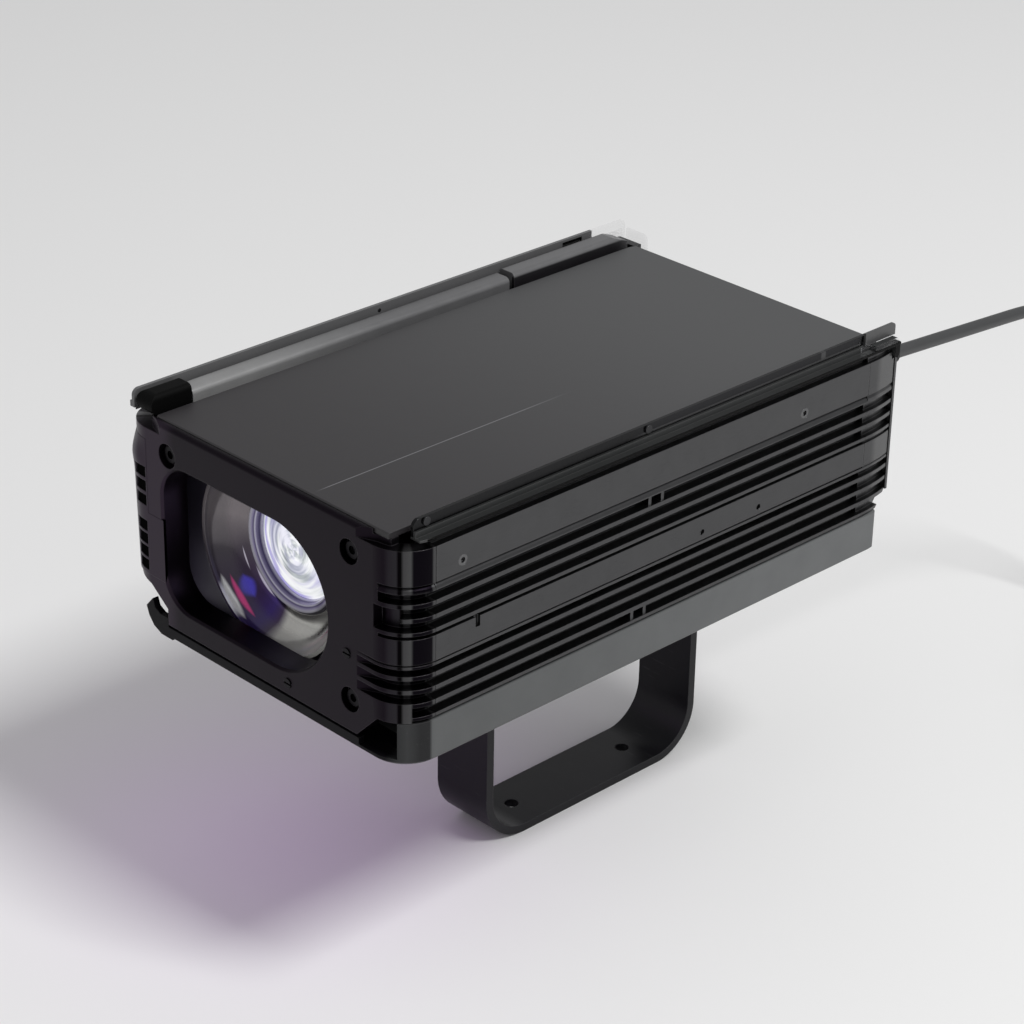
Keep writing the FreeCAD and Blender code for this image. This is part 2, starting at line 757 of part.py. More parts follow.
def corner_grooves():
    """The cutters that carry the side grooves round the right front corner."""
    whole = long_grooves() + [shadow_gap()]
    tools = [corner_groove(section, UPPER_WRAP_DEG) for section in upper_grooves()]
    tools += [corner_groove(section, LOWER_WRAP_DEG) for section in whole]
    tools += [groove_runout(section) for section in whole]
    tools += [corner_groove(section, SHORT_WRAP_DEG) for section in short_grooves()]
    return tools + [corner_pocket()]


def y_edges_at(shape, y, x_range, z_range):
    """The edges of a shape that lie on one upright plane inside a window."""
    found = []
    for edge in shape.Edges:
        b = edge.BoundBox
        on_plane = abs(b.YMin - y) < SNUG_FIT and abs(b.YMax - y) < SNUG_FIT
        inside_x = x_range[0] <= b.XMin and b.XMax <= x_range[1]
        inside_z = z_range[0] <= b.ZMin and b.ZMax <= z_range[1]
        if on_plane and inside_x and inside_z:
            found.append(edge)
    return found


def bezel_screw_places():
    """The three counterbored screws of the bezel as X and Z."""
    top, low = above_pan(BEZEL_SCREW_TOP_Z), above_pan(BEZEL_SCREW_LOW_Z)
    return [(-BEZEL_SCREW_X, top), (BEZEL_SCREW_X, top), (BEZEL_SCREW_X, low)]


def trim_screw_places():
    """The two small screws of the bezel as X and Z."""
    side = (TRIM_SCREW_SIDE_X, above_pan(TRIM_SCREW_SIDE_Z))
    return [side, (TRIM_SCREW_LOW_X, above_pan(TRIM_SCREW_LOW_Z))]


def bezel_top():
    """The height of the bezel's upper lip."""
    return LID_TOP - BEZEL_TOP_DROP


def bezel_shell():
    """The bezel's front plate and rounded corners, with the window cut through."""
    z0, z1 = above_pan(BEZEL_Z), bezel_top()
    shell = front_slab(0, SEAM_Y + OVERRUN, z0, z1)
    behind = box(-BODY_W, BODY_W, SEAM_Y, SEAM_Y + OVERRUN * 2, z0 - OVERRUN, z1 + OVERRUN)
    inside = front_slab(BEZEL_T, SEAM_Y + OVERRUN * 2, z0 - OVERRUN, z1 + OVERRUN)
    shell = shell.cut([behind, inside])
    top_edge = y_edges_at(shell, FRONT_Y, (-HALF_W, HALF_W), (z1 - SNUG_FIT, z1 + SNUG_FIT))
    shell = shell.makeFillet(BEZEL_TOP_R, top_edge)
    shell = shell.cut(window_plug(0, FRONT_Y - OVERRUN, FRONT_Y + BEZEL_T + OVERRUN))
    x_range = (WINDOW_LEFT - SNUG_FIT, WINDOW_RIGHT + SNUG_FIT)
    z_range = (above_pan(WINDOW_Z0) - SNUG_FIT, above_pan(WINDOW_Z1) + SNUG_FIT)
    return shell.makeChamfer(BEZEL_EDGE, y_edges_at(shell, FRONT_Y, x_range, z_range))


def bezel_collar():
    """The collar behind the window."""
    end = setback(COLLAR_DEPTH)
    collar = window_plug(COLLAR_T, FRONT_Y + BEZEL_T, end)
    return collar.cut(window_plug(0, FRONT_Y, end + OVERRUN))


def bezel_bosses():
    """The pillars from the bezel's plate to the front frame."""
    start, end = FRONT_Y + BEZEL_T, setback(FRAME_START)
    return [disc_rod_y(BEZEL_BOSS_R, start, end, x, z) for x, z in bezel_screw_places()]


def bezel_trims():
    """Cutters for the right side: the slanted cheek and the low shoulder, and for the lid."""
    z0, z1, far_x = above_pan(BEZEL_Z), bezel_top(), HALF_W + OVERRUN
    y, cheek_z = FRONT_Y - OVERRUN, above_pan(PAN_WALL_H) + FACE_FIT
    cheek = prism([
        V(BEZEL_CHEEK_X, y, z0 - OVERRUN),
        V(BEZEL_CHEEK_X, y, z0),
        V(BEZEL_CHEEK_X + BEZEL_CHEEK_RUN, y, cheek_z),
        V(far_x, y, cheek_z),
        V(far_x, y, z0 - OVERRUN),
    ], V(0, CORNER_R + OVERRUN * 2, 0))
    shoulder = box(LID_RIGHT_X, far_x, y, SEAM_Y + OVERRUN, above_pan(SHADOW_GAP_Z), z1 + OVERRUN)
    rebate_z = LID_TOP - LID_T - FACE_FIT
    rebate = box(0, far_x, FRONT_Y + LIP_DEPTH, SEAM_Y + OVERRUN, rebate_z, z1 + OVERRUN)
    return [cheek, shoulder, rebate]


def bezel_left_cuts():
    """Cutters for the cut-away lower left corner and for the room under the hinge's front block."""
    y, far_x, low = FRONT_Y - OVERRUN, -HALF_W - OVERRUN, above_pan(BEZEL_Z) - OVERRUN
    x = LEFT_CUT_INSET - HALF_W
    corner = prism([
        V(x, y, low),
        V(x, y, above_pan(LEFT_CUT_STEP_Z)),
        V(x - LEFT_CUT_RUN, y, above_pan(LEFT_CUT_SHOULDER_Z)),
        V(far_x, y, above_pan(LEFT_CUT_TOP_Z)),
        V(far_x, y, low),
    ], V(0, CORNER_R + OVERRUN * 2, 0))
    top = bezel_top() + OVERRUN
    return [corner, box(far_x, HINGE_EDGE_X, y, SEAM_Y + OVERRUN, above_pan(SHADOW_GAP_Z), top)]


def bezel_holes():
    """Cutters for the bezel's counterbored screws and small screws."""
    tools = []
    y, end = FRONT_Y - OVERRUN, setback(FRAME_START) + OVERRUN
    for x, z in bezel_screw_places():
        tools.append(disc_rod_y(COUNTERBORE_R, y, FRONT_Y + COUNTERBORE_D, x, z))
        tools.append(disc_rod_y(M4_R + SNUG_FIT, y, end, x, z))
    for x, z in trim_screw_places():
        tools.append(disc_rod_y(TRIM_SCREW_R + SNUG_FIT, y, FRONT_Y + TRIM_SCREW_L, x, z))
    return tools


def front_bezel():
    """The cast front with its window, collar, bosses and wrapped grooves."""
    solid = fuse_all([bezel_shell(), bezel_collar()] + bezel_bosses())
    one_side = corner_grooves() + bezel_trims()
    both_sides = one_side + [mirrored(tool) for tool in one_side]
    return cut_all(solid, both_sides + bezel_left_cuts() + bezel_holes())


def side_screw_places():
    """The side wall screws as Y and Z, into the front frame and the bulkhead."""
    z = above_pan(SIDE_SCREW_Z)
    return [(setback(start + FRAME_T / 2), z) for start in (FRAME_START, BULKHEAD_START)]


def heatsink_blank(ledge_top):
    """A side wall on the right with its skirt in the pan and a ledge along its inner top edge."""
    y0, y1 = SEAM_Y + SEAM_GAP, REAR_SEAM_Y
    bottom = above_pan(PAN_WALL_H)
    wall = box(INNER_X, HALF_W, y0, y1, bottom, WALL_TOP)
    skirt = box(INNER_X, HALF_W - PAN_WALL_T - FACE_FIT, y0, y1, FLOOR_Z, bottom)
    ledge = box(INNER_X - LEDGE_W, INNER_X, y0, y1, ledge_top - LEDGE_T, ledge_top)
    return fuse_all([wall, skirt, ledge])


def heatsink_marks():
    """Cutters for the slot and the small pits on the wall's middle band."""
    y, z = setback(SLOT_SETBACK), above_pan(SLOT_Z)
    inner, outer = HALF_W - SLOT_D, HALF_W + OVERRUN
    tools = [box(inner, outer, y, y + SLOT_W, z - SLOT_H / 2, z + SLOT_H / 2)]
    for place in PIT_SETBACKS:
        tools.append(rod(PIT_R, outer - inner, inner, setback(place), above_pan(PIT_Z), X_AXIS))
    return tools


def heatsink_holes():
    """Cutters for the side screws, sunk flush, and for the rear casting's screws."""
    tools = []
    for y, z in side_screw_places():
        tools.append(rod(M4_R + SNUG_FIT, WALL_T + OVERRUN * 2, INNER_X - OVERRUN, y, z, X_AXIS))
        tools.append(rod(SIDE_HEAD_R + SNUG_FIT, M4_HEAD_H + OVERRUN, HALF_W - M4_HEAD_H, y, z, X_AXIS))
    for z in panel_screw_heights():
        tools.append(disc_rod_y(FINE_R + SNUG_FIT, REAR_Y - PANEL_SCREW_L, REAR_Y, PANEL_SCREW_X, z))
    return tools


def heatsink_ribs():
    """The pairs of small ribs that bridge two of the grooves."""
    ribs = []
    inner, outer = HALF_W - GROOVE_D, HALF_W - RIB_SINK
    for place, height in ((UPPER_RIB_SETBACK, UPPER_GROOVE_Z), (LOWER_RIB_SETBACK, last_groove_z())):
        for side in (-1, 1):
            y, z = setback(place) + side * RIB_SPACING / 2, above_pan(height)
            ribs.append(box(inner, outer, y - RIB_T / 2, y + RIB_T / 2, z - GROOVE_H / 2, z + GROOVE_H / 2))
    return ribs


def heatsink(ledge_top):
    """A finned side wall on the right."""
    y0, y1 = SEAM_Y, REAR_SEAM_Y + OVERRUN
    sections = upper_grooves() + lower_grooves() + [shadow_gap()]
    tools = [straight_groove(section, y0, y1) for section in sections]
    solid = cut_all(heatsink_blank(ledge_top), tools + heatsink_marks() + heatsink_holes())
    return fuse_all([solid] + heatsink_ribs())


def right_heatsink():
    """The right finned wall, whose ledge carries the lid's free edge."""
    return heatsink(LID_TOP - LID_T - FACE_FIT)


def left_heatsink():
    """The left finned wall, whose lower ledge carries the lid's hinge."""
    return mirrored(heatsink(above_pan(HINGE_LEDGE_Z)))


def pan_tongue():
    """The curled tongue at the pan's open front left corner."""
    points = [V(inset - HALF_W, FRONT_Y, above_pan(z)) for inset, z in PAN_TONGUE]
    return prism(points, V(0, PAN_WALL_T, 0))


def pan_openings():
    """Cutters for the low front lip, its dip on the right and the open corner on the left."""
    top, y = above_pan(PAN_WALL_H) + OVERRUN, FRONT_Y - OVERRUN
    lip = box(-PAN_NOTCH_X, PAN_NOTCH_X, y, SEAM_Y, above_pan(PAN_LIP_H), top)
    dip = box(HALF_W - PAN_DIP_INSET, PAN_NOTCH_X, y, SEAM_Y, above_pan(PAN_DIP_H), top)
    corner_x = PAN_OPEN_INSET - HALF_W
    corner = box(-HALF_W - OVERRUN, corner_x, y, SEAM_Y + PAN_OPEN_BACK, PAN_Z - OVERRUN, top)
    return [lip, dip, corner]


def pan_tray():
    """The tray's shell with a rounded plan, eased lower edges and a cut front."""
    top = above_pan(PAN_WALL_H)
    tray = front_slab(0, PAN_END_Y, PAN_Z, top)
    upright = [e for e in tray.Edges if e.BoundBox.ZLength > PAN_T]
    tray = tray.makeFillet(PAN_REAR_R, [e for e in upright if e.BoundBox.YMin > PAN_END_Y - SNUG_FIT])
    low_edges = [e for e in tray.Edges if abs(e.BoundBox.ZMax - PAN_Z) < SNUG_FIT]
    tray = tray.makeChamfer(PAN_EDGE_R, low_edges)
    hollow = front_slab(PAN_WALL_T, PAN_END_Y - PAN_WALL_T, FLOOR_Z, top + OVERRUN)
    return fuse_all([tray.cut([hollow] + pan_openings()), pan_tongue()])


def base_pan():
    """The tray under the body, with air slots and the hanger's screw holes."""
    tools = []
    low, high = PAN_Z - OVERRUN, FLOOR_Z + OVERRUN
    for i in range(VENT_COUNT):
        y = setback(VENT_SETBACK) + i * VENT_PITCH
        for x in (-VENT_X, VENT_X):
            tools.append(box(x - VENT_L / 2, x + VENT_L / 2, y, y + VENT_W, low, high))
    for x, y in hanger_screw_places():
        tools.append(rod(M4_R + SNUG_FIT, high - low, x, y, low, Z_AXIS))
    return cut_all(pan_tray(), tools)


def rail_plate(front):
    """The rail's foot on the right wall's top, trimmed to the rounded corner."""
    y0, y1 = setback(front), REAR_Y + RAIL_OVERHANG
    foot = box(GUARD_X, HALF_W, y0, y1, WALL_TOP, RAIL_TOP)
    plan = front_slab(0, y1 + OVERRUN, WALL_TOP, RAIL_TOP)
    return foot.common(plan)


def rail_leg(front):
    """The rail's low upright leg outside the guard."""
    x = GUARD_X + GUARD_T
    y0, y1 = setback(front), REAR_Y + RAIL_OVERHANG
    return box(x, x + RAIL_LEG_T, y0, y1, RAIL_TOP, RAIL_TOP + RAIL_LEG_H)


def rail_hook():
    """The hooked rear end of the right rail, bent down behind the casting."""
    x = HALF_W - SHADOW_GAP_D + FACE_FIT
    y1 = REAR_Y + RAIL_OVERHANG
    y0, back = y1 - HOOK_L, y1 - HOOK_FOOT
    top, low = RAIL_TOP + RAIL_LEG_H, RAIL_TOP - HOOK_DROP
    outline = [
        V(x, y0, WALL_TOP),
        V(x, y0, top),
        V(x, y1 - HOOK_NOSE, top),
        V(x, y1, top - HOOK_NOSE),
        V(x, y1, low + HOOK_NOSE),
        V(x, y1 - HOOK_NOSE / 2, low),
        V(x, back, low + HOOK_NOSE),
        V(x, back, WALL_TOP),
    ]
    return prism(outline, V(HOOK_T, 0, 0))


def hook_room():
    """A cutter in the rear casting for the hooked end of the right rail."""
    x = HALF_W - SHADOW_GAP_D
    y = REAR_Y + RAIL_OVERHANG - HOOK_FOOT - HOOK_ROOM
    z = RAIL_TOP - HOOK_DROP - HOOK_ROOM
    return box(x, HALF_W + OVERRUN, y, REAR_Y + OVERRUN, z, WALL_TOP + OVERRUN)


def right_rail():
    """The right edge rail with its hooked rear end and upright tab."""
    x, y1 = GUARD_X + GUARD_T, REAR_Y + RAIL_OVERHANG
    z = RAIL_TOP + RAIL_LEG_H
    tab = box(x, x + RAIL_LEG_T, y1 - TAB_L, y1, z, z + TAB_H)
    across = [e for e in tab.Edges if e.BoundBox.XLength > SNUG_FIT and e.BoundBox.ZMin > z]
    tab = tab.makeFillet(TAB_END_R, [e for e in across if e.BoundBox.YMin > y1 - SNUG_FIT])
    return fuse_all([rail_plate(RIGHT_GUARD_FRONT), rail_leg(RIGHT_GUARD_FRONT), rail_hook(), tab])


def left_rail():
    """The left edge rail."""
    return mirrored(fuse_all([rail_plate(LEFT_GUARD_FRONT), rail_leg(LEFT_GUARD_FRONT)]))


def guard(front, height, extra_tools):
    """An upright acrylic strip on the right rail with rounded top ends."""
    y0, y1 = setback(front), REAR_Y + RAIL_OVERHANG
    strip = box(GUARD_X, GUARD_X + GUARD_T, y0, y1, RAIL_TOP, RAIL_TOP + height)
    across = [e for e in strip.Edges if e.BoundBox.XLength > SNUG_FIT]
    strip = strip.makeFillet(GUARD_END_R, [e for e in across if e.BoundBox.ZMin > RAIL_TOP + SNUG_FIT])
    tools = list(extra_tools)
    for place in GUARD_SCREW_SETBACKS:
        y, z = setback(place), above_pan(GUARD_SCREW_Z)
        tools.append(rod(GUARD_SCREW_R + SNUG_FIT, GUARD_T + OVERRUN * 2, GUARD_X - OVERRUN, y, z, X_AXIS))
    return cut_all(strip, tools)


def right_guard():
    """The right acrylic strip."""
    return guard(RIGHT_GUARD_FRONT, GUARD_RIGHT_H, [])


def left_guard():
    """The left acrylic strip, a little taller, with a blind slot near its rear end."""
    y, z = setback(GUARD_SLOT_SETBACK), above_pan(GUARD_SLOT_Z)
    half_l, half_h = GUARD_SLOT_L / 2, GUARD_SLOT_H / 2
    floor = GUARD_X + GUARD_SLOT_D
    slot = box(GUARD_X - OVERRUN, floor, y - half_l, y + half_l, z - half_h, z + half_h)
    return mirrored(guard(LEFT_GUARD_FRONT, GUARD_LEFT_H, [slot]))


def guard_screws():
    """The small screws through both guards, heads outside."""
    screws = []
    for place in GUARD_SCREW_SETBACKS:
        y, z = setback(place), above_pan(GUARD_SCREW_Z)
        shank = rod(GUARD_SCREW_R, GUARD_T, GUARD_X, y, z, X_AXIS)
        head = rod(GUARD_SCREW_HEAD_R, GUARD_SCREW_HEAD_H, GUARD_X + GUARD_T, y, z, X_AXIS)
        screw = fuse_all([shank, head])
        screws += [screw, mirrored(screw)]
    return Part.makeCompound(screws)


def hinge_bar_ends():
    """Where the lid's long hinge knuckle starts and ends along Y."""
    return setback(FRONT_BLOCK_END) + HINGE_END_GAP, setback(REAR_BLOCK_START) - HINGE_REAR_GAP


def lid_sheet():
    """The lid's sheet with its rear edge bent down and one rear corner rounded."""
    x0, x1 = HINGE_EDGE_X + LID_JOINT_W, LID_RIGHT_X
    y0, y2 = setback(LID_FRONT), REAR_Y - LID_REAR_INSET
    y1, low = y2 - LID_REAR_BEND, LID_TOP - LID_T
    sheet = prism([
        V(x0, y0, low),
        V(x0, y0, LID_TOP),
        V(x0, y1, LID_TOP),
        V(x0, y2, LID_TOP - LID_REAR_FALL),
        V(x0, y2, low - LID_REAR_FALL),
        V(x0, y1, low),
    ], V(x1 - x0, 0, 0))
    front = y_edges_at(sheet, y0, (x0 - SNUG_FIT, x1 + SNUG_FIT), (LID_TOP - SNUG_FIT, LID_TOP + SNUG_FIT))
    sheet = sheet.makeChamfer(LID_EDGE, front)
    r, base, height = LID_CORNER_R, low - LID_REAR_FALL - OVERRUN, LID_T + LID_REAR_FALL + OVERRUN * 2
    corner = box(x0 - OVERRUN, x0 + r, y2 - r, y2 + OVERRUN, base, base + height)
    return sheet.cut(corner.cut(rod(r, height, x0 + r, y2 - r, base, Z_AXIS)))


def top_lid():
    """The flat top cover, hung on the hinge bar by a thin tongue and resting on the right ledge."""
    y0, y1 = hinge_bar_ends()
    low = LID_TOP - LID_T
    tongue = box(HINGE_EDGE_X, HINGE_EDGE_X + LID_JOINT_W, y0, y1, low, LID_TOP - LID_JOINT_D)
    return fuse_all([lid_sheet(), tongue])


def hinge_section(y0, y1, rise):
    """A hinge bar of rounded section about the hinge axis, raised at its top."""
    z = above_pan(HINGE_Z)
    half = HINGE_BAR_W / 2
    bar = box(-HINGE_X - half, HINGE_EDGE_X, y0, y1, z - HINGE_BAR_DOWN, z + HINGE_BAR_UP + rise)
    long_edges = [e for e in bar.Edges if e.BoundBox.YLength > SNUG_FIT]
    return bar.makeFillet(HINGE_BAR_R, long_edges)


def hinge_bore(radius, y0, y1):
    """A cutter for the hinge pin's hole."""
    return disc_rod_y(radius, y0, y1, -HINGE_X, above_pan(HINGE_Z))


def lid_hinge_bar():
    """The long middle knuckle that carries the lid."""
    y0, y1 = hinge_bar_ends()
    return hinge_section(y0, y1, 0).cut(hinge_bore(HINGE_PIN_R + RUN_FIT, y0 - OVERRUN, y1 + OVERRUN))


def hinge_foot(y0, y1):
    """The foot of a fixed hinge block on the left wall's ledge."""
    top = above_pan(HINGE_Z) - HINGE_BAR_DOWN / 2
    return box(-INNER_X, HINGE_EDGE_X, y0, y1, above_pan(HINGE_LEDGE_Z), top)


def pin_ends():
    """Where the hinge pin starts and ends along Y."""
    return setback(FRONT_BLOCK_START + PIN_INSET), setback(REAR_BLOCK_END - PIN_INSET)


def hinge_front_block():
    """The fixed front knuckle with a round nose over the bezel's corner."""
    y0, y1 = setback(FRONT_BLOCK_START), setback(FRONT_BLOCK_END)
    seat, low = SEAM_Y + SEAM_GAP, WALL_TOP + FACE_FIT
    top = above_pan(HINGE_Z) + HINGE_BAR_UP + FRONT_BLOCK_RISE
    left, r = -HINGE_X - HINGE_BAR_W / 2, (top - low) / 2
    nose = rod(r, HINGE_BAR_W, left, y0 + r, low + r, X_AXIS)
    rest = box(left, HINGE_EDGE_X, y0 + r, y1, low, top)
    head = hinge_section(y0, y1, FRONT_BLOCK_RISE).common(fuse_all([nose, rest]))
    bore = hinge_bore(HINGE_PIN_R + SNUG_FIT, pin_ends()[0] - FACE_FIT, y1 + OVERRUN)
    return fuse_all([head, hinge_foot(seat, y1)]).cut(bore)


def hinge_rear_block():
    """The fixed rear knuckle, sloped off at its rear end."""
    y0, y1 = setback(REAR_BLOCK_START), setback(REAR_BLOCK_END)
    top = above_pan(HINGE_Z) + HINGE_BAR_UP + REAR_BLOCK_RISE
    x = -HINGE_X - HINGE_BAR_W / 2
    slope = prism([
        V(x, y1 - REAR_BLOCK_SLOPE_L, top),
        V(x, y1, top - REAR_BLOCK_SLOPE_H),
        V(x, y1 + OVERRUN, top - REAR_BLOCK_SLOPE_H),
        V(x, y1 + OVERRUN, top),
    ], V(HINGE_BAR_W, 0, 0))
    block = fuse_all([hinge_section(y0, y1, REAR_BLOCK_RISE), hinge_foot(y0, y1)])
    return block.cut([slope, hinge_bore(HINGE_PIN_R + SNUG_FIT, y0 - OVERRUN, pin_ends()[1] + FACE_FIT)])


def hinge_pin():
    """The lid's hinge pin."""
    y0, y1 = pin_ends()
    return disc_rod_y(HINGE_PIN_R, y0, y1, -HINGE_X, above_pan(HINGE_Z))


def screw(shank_r, head_r, head_h, length):
    """A socket screw along -Z with its head's underside at the origin."""
    shank = rod(shank_r, length, 0, 0, -length, Z_AXIS)
    head = rod(head_r, head_h, 0, 0, 0, Z_AXIS)
    sunk = head_h * DRIVE_DEPTH_SHARE
    drive = rod(head_r * DRIVE_R_SHARE, sunk + OVERRUN, 0, 0, head_h - sunk, Z_AXIS)
    return fuse_all([shank, head]).cut(drive)


def placed(shape, direction, place):
    """A copy of a shape whose +Z is turned to a direction and moved to a place."""
    copy = shape.copy()
    copy.Placement = FreeCAD.Placement(place, FreeCAD.Rotation(Z_AXIS, direction))
    return copy


def bezel_screws():
    """The three long screws that hold the bezel to the front frame."""
    seat = FRONT_Y + COUNTERBORE_D
    long_screw = screw(M4_R, M4_HEAD_R, M4_HEAD_H, setback(FRAME_START + FRAME_T) - seat)
    made = [placed(long_screw, V(0, -1, 0), V(x, seat, z)) for x, z in bezel_screw_places()]
    return Part.makeCompound(made)


def bezel_trim_screws():
    """The two small flush screws of the bezel."""
    slot_half = TRIM_SCREW_PROUD
    made = []
    for x, z in trim_screw_places():
        y = FRONT_Y - TRIM_SCREW_PROUD
        body = disc_rod_y(TRIM_SCREW_R, y, FRONT_Y + TRIM_SCREW_L, x, z)
        end = FRONT_Y + TRIM_SCREW_PROUD
        slot = box(x - TRIM_SCREW_R, x + TRIM_SCREW_R, y, end, z - slot_half, z + slot_half)
        made.append(body.cut(slot))
    return Part.makeCompound(made)


def hanger_screw_places():
    """The hanger's screws under the pan as X and Y."""
    x = (LUG_W + HANGER_W) / 4
    y = lug_face_y() / 2
    return [(sx * x, sy * y) for sx in (-1, 1) for sy in (-1, 1)]


def m4_screws():
    """The M4 screws: long ones sunk in the side walls, short ones for the hanger."""
    made = []
    sunk = screw(M4_R, SIDE_HEAD_R, M4_HEAD_H, M4_L)
    for y, z in side_screw_places():
        for side in (-1, 1):
            made.append(placed(sunk, V(side, 0, 0), V(side * (HALF_W - M4_HEAD_H), y, z)))
    short = screw(M4_R, M4_HEAD_R, M4_HEAD_H, HANGER_T + PAN_T)
    for x, y in hanger_screw_places():
        made.append(placed(short, V(0, 0, -1), V(x, y, PAN_Z - HANGER_T)))
    return Part.makeCompound(made)


def plate_across(start, thickness):
    """A plate between the side walls, standing on the pan."""
    y0, y1 = setback(start), setback(start + thickness)
    return box(-INNER_X, INNER_X, y0, y1, FLOOR_Z, above_pan(FRAME_TOP_Z))


def side_screw_bores(start):
    """Cutters for the side screws in the ends of a cross plate."""
    y, z = setback(start + FRAME_T / 2), above_pan(SIDE_SCREW_Z)
    bite = M4_L + M4_HEAD_H - WALL_T
    right = rod(M4_R + SNUG_FIT, bite + OVERRUN, INNER_X - bite, y, z, X_AXIS)
    return [right, mirrored(right)]


def front_frame():
    """The cross plate that holds the lens barrel and the bezel screws."""
    plate = plate_across(FRAME_START, FRAME_T)
    y0, y1 = setback(FRAME_START) - OVERRUN, setback(FRAME_START + FRAME_T) + OVERRUN
    tools = [disc_rod_y(BARREL_R + SNUG_FIT, y0, y1, LENS_X, above_pan(LENS_Z))]
    tools += [disc_rod_y(M4_R + SNUG_FIT, y0, y1, x, z) for x, z in bezel_screw_places()]
    return cut_all(plate, tools + side_screw_bores(FRAME_START))


def bulkhead():
    """The rear cross plate, with air openings."""
    plate = plate_across(BULKHEAD_START, FRAME_T)
    y0, y1 = setback(BULKHEAD_START) - OVERRUN, setback(BULKHEAD_START + FRAME_T) + OVERRUN
    tools = []
    for i in range(BULKHEAD_CUTS):
        x = (i - (BULKHEAD_CUTS - 1) / 2) * BULKHEAD_CUT_PITCH
        z = above_pan(BULKHEAD_CUT_Z)
        tools.append(box(x - BULKHEAD_CUT_W / 2, x + BULKHEAD_CUT_W / 2, y0, y1, z, z + BULKHEAD_CUT_H))
    return cut_all(plate, tools + side_screw_bores(BULKHEAD_START))


def turned_y(points, x, z):
    """A solid of revolution about an axis along Y, from radius and depth pairs or edges."""
    return Part.Face(points).revolve(V(x, 0, z), Y_AXIS, FULL_TURN)


def bowl_arc(grow, x, z):
    """The bowl's curved wall as an arc from rim to throat."""
    rim = V(x + BOWL_R + grow, setback(BOWL_DEPTH), z)
    throat = V(x + THROAT_R + grow, setback(THROAT_DEPTH), z)
    run = throat - rim
    side = V(-run.y, run.x, 0).normalize()
    middle = (rim + throat) * (1 / 2) - side * BOWL_BULGE
    return rim, middle, throat


def reflector_bowl():
    """The polished bowl and the barrel behind it, in one turned piece."""
    x, z = LENS_X, above_pan(LENS_Z)
    rim, middle, throat = bowl_arc(0, x, z)
    rim_out, middle_out, throat_out = bowl_arc(BOWL_WALL, x, z)
    lip_y = setback(BOWL_DEPTH) - RING_PROUD
    end_y = setback(BARREL_END)
    seat_y = setback(THROAT_DEPTH + RING_T)
    barrel = x + BARREL_R
    edges = [
        Part.LineSegment(V(rim.x, lip_y, z), rim),
        Part.Arc(rim, middle, throat),
        Part.LineSegment(throat, V(throat.x, seat_y + LENS_EDGE_T, z)),
        Part.LineSegment(V(throat.x, seat_y + LENS_EDGE_T, z), V(x + REAR_SEAT_R, seat_y + LENS_EDGE_T, z)),
        Part.LineSegment(V(x + REAR_SEAT_R, seat_y + LENS_EDGE_T, z), V(x + REAR_SEAT_R, end_y, z)),
        Part.LineSegment(V(x + REAR_SEAT_R, end_y, z), V(barrel, end_y, z)),
        Part.LineSegment(V(barrel, end_y, z), V(barrel, throat_out.y, z)),
        Part.LineSegment(V(barrel, throat_out.y, z), throat_out),
        Part.Arc(throat_out, middle_out, rim_out),
        Part.LineSegment(rim_out, V(rim_out.x, lip_y, z)),
        Part.LineSegment(V(rim_out.x, lip_y, z), V(rim.x, lip_y, z)),
    ]
    return turned_y(Part.Wire([edge.toShape() for edge in edges]), x, z)


def lens_ring():
    """The retaining ring in the barrel's mouth."""
    x, z = LENS_X, above_pan(LENS_Z)
    y0, y1 = setback(THROAT_DEPTH) - RING_PROUD, setback(THROAT_DEPTH + RING_T)
    outer = x + THROAT_R - SNUG_FIT
    inner = x + RING_R
    points = [
        V(inner, y1, z),
        V(outer, y1, z),
        V(outer, y0 + RING_PROUD, z),
        V(outer - RING_PROUD, y0, z),
        V(inner + RING_PROUD, y0 + RING_PROUD, z),
    ]
    return turned_y(Part.makePolygon(points + points[:1]), x, z)


def inner_lens():
    """The lens that the ring holds, with a domed front."""
    x, z = LENS_X, above_pan(LENS_Z)
    edge_y = setback(THROAT_DEPTH + RING_T)
    back = edge_y + LENS_EDGE_T
    radius, sag = RING_R - SNUG_FIT, LENS_CENTRE_T - LENS_EDGE_T
    ball_r = (radius ** 2 + sag ** 2) / (sag * 2)
    ball = Part.makeSphere(ball_r, V(x, edge_y - sag + ball_r, z))
    dome = disc_rod_y(radius, edge_y - sag - OVERRUN, back, x, z).common(ball)
    return fuse_all([disc_rod_y(THROAT_R - SNUG_FIT, edge_y, back, x, z), dome])


def optical_plate():
    """The base plate of the optics on four legs."""
    z = above_pan(PLATE_Z)
    plate = box(PLATE_LEFT, PLATE_RIGHT, setback(PLATE_START), setback(PLATE_END), z, z + PLATE_T)
    legs = []
    for x in (PLATE_LEFT + PLATE_LEG_INSET, PLATE_RIGHT - PLATE_LEG_INSET):
        for y in (setback(PLATE_START + PLATE_LEG_INSET), setback(PLATE_END - PLATE_LEG_INSET)):
            legs.append(rod(PLATE_LEG_R, z - FLOOR_Z, x, y, FLOOR_Z, Z_AXIS))
    return fuse_all([plate] + legs)


def laser_module():
    """A laser head that fires along +X, its nose face at the origin, its foot below."""
    beam = LENS_Z - PLATE_Z - PLATE_T
    body = box(-LASER_L, 0, -LASER_W / 2, LASER_W / 2, -beam, LASER_H - beam)
    nose = rod(LASER_NOSE_R, LASER_NOSE_L, 0, 0, 0, X_AXIS)
    pitch = LASER_L / (LASER_FINS + 1)
    tools = []
    for i in range(LASER_FINS):
        x = -LASER_L + (i + 1) * pitch
        top = LASER_H - beam
        half = LASER_FIN_GAP / 2
        tools.append(box(x - half, x + half, -LASER_W, LASER_W, top - LASER_FIN_D, top + OVERRUN))
    return fuse_all([body, nose]).cut(tools)


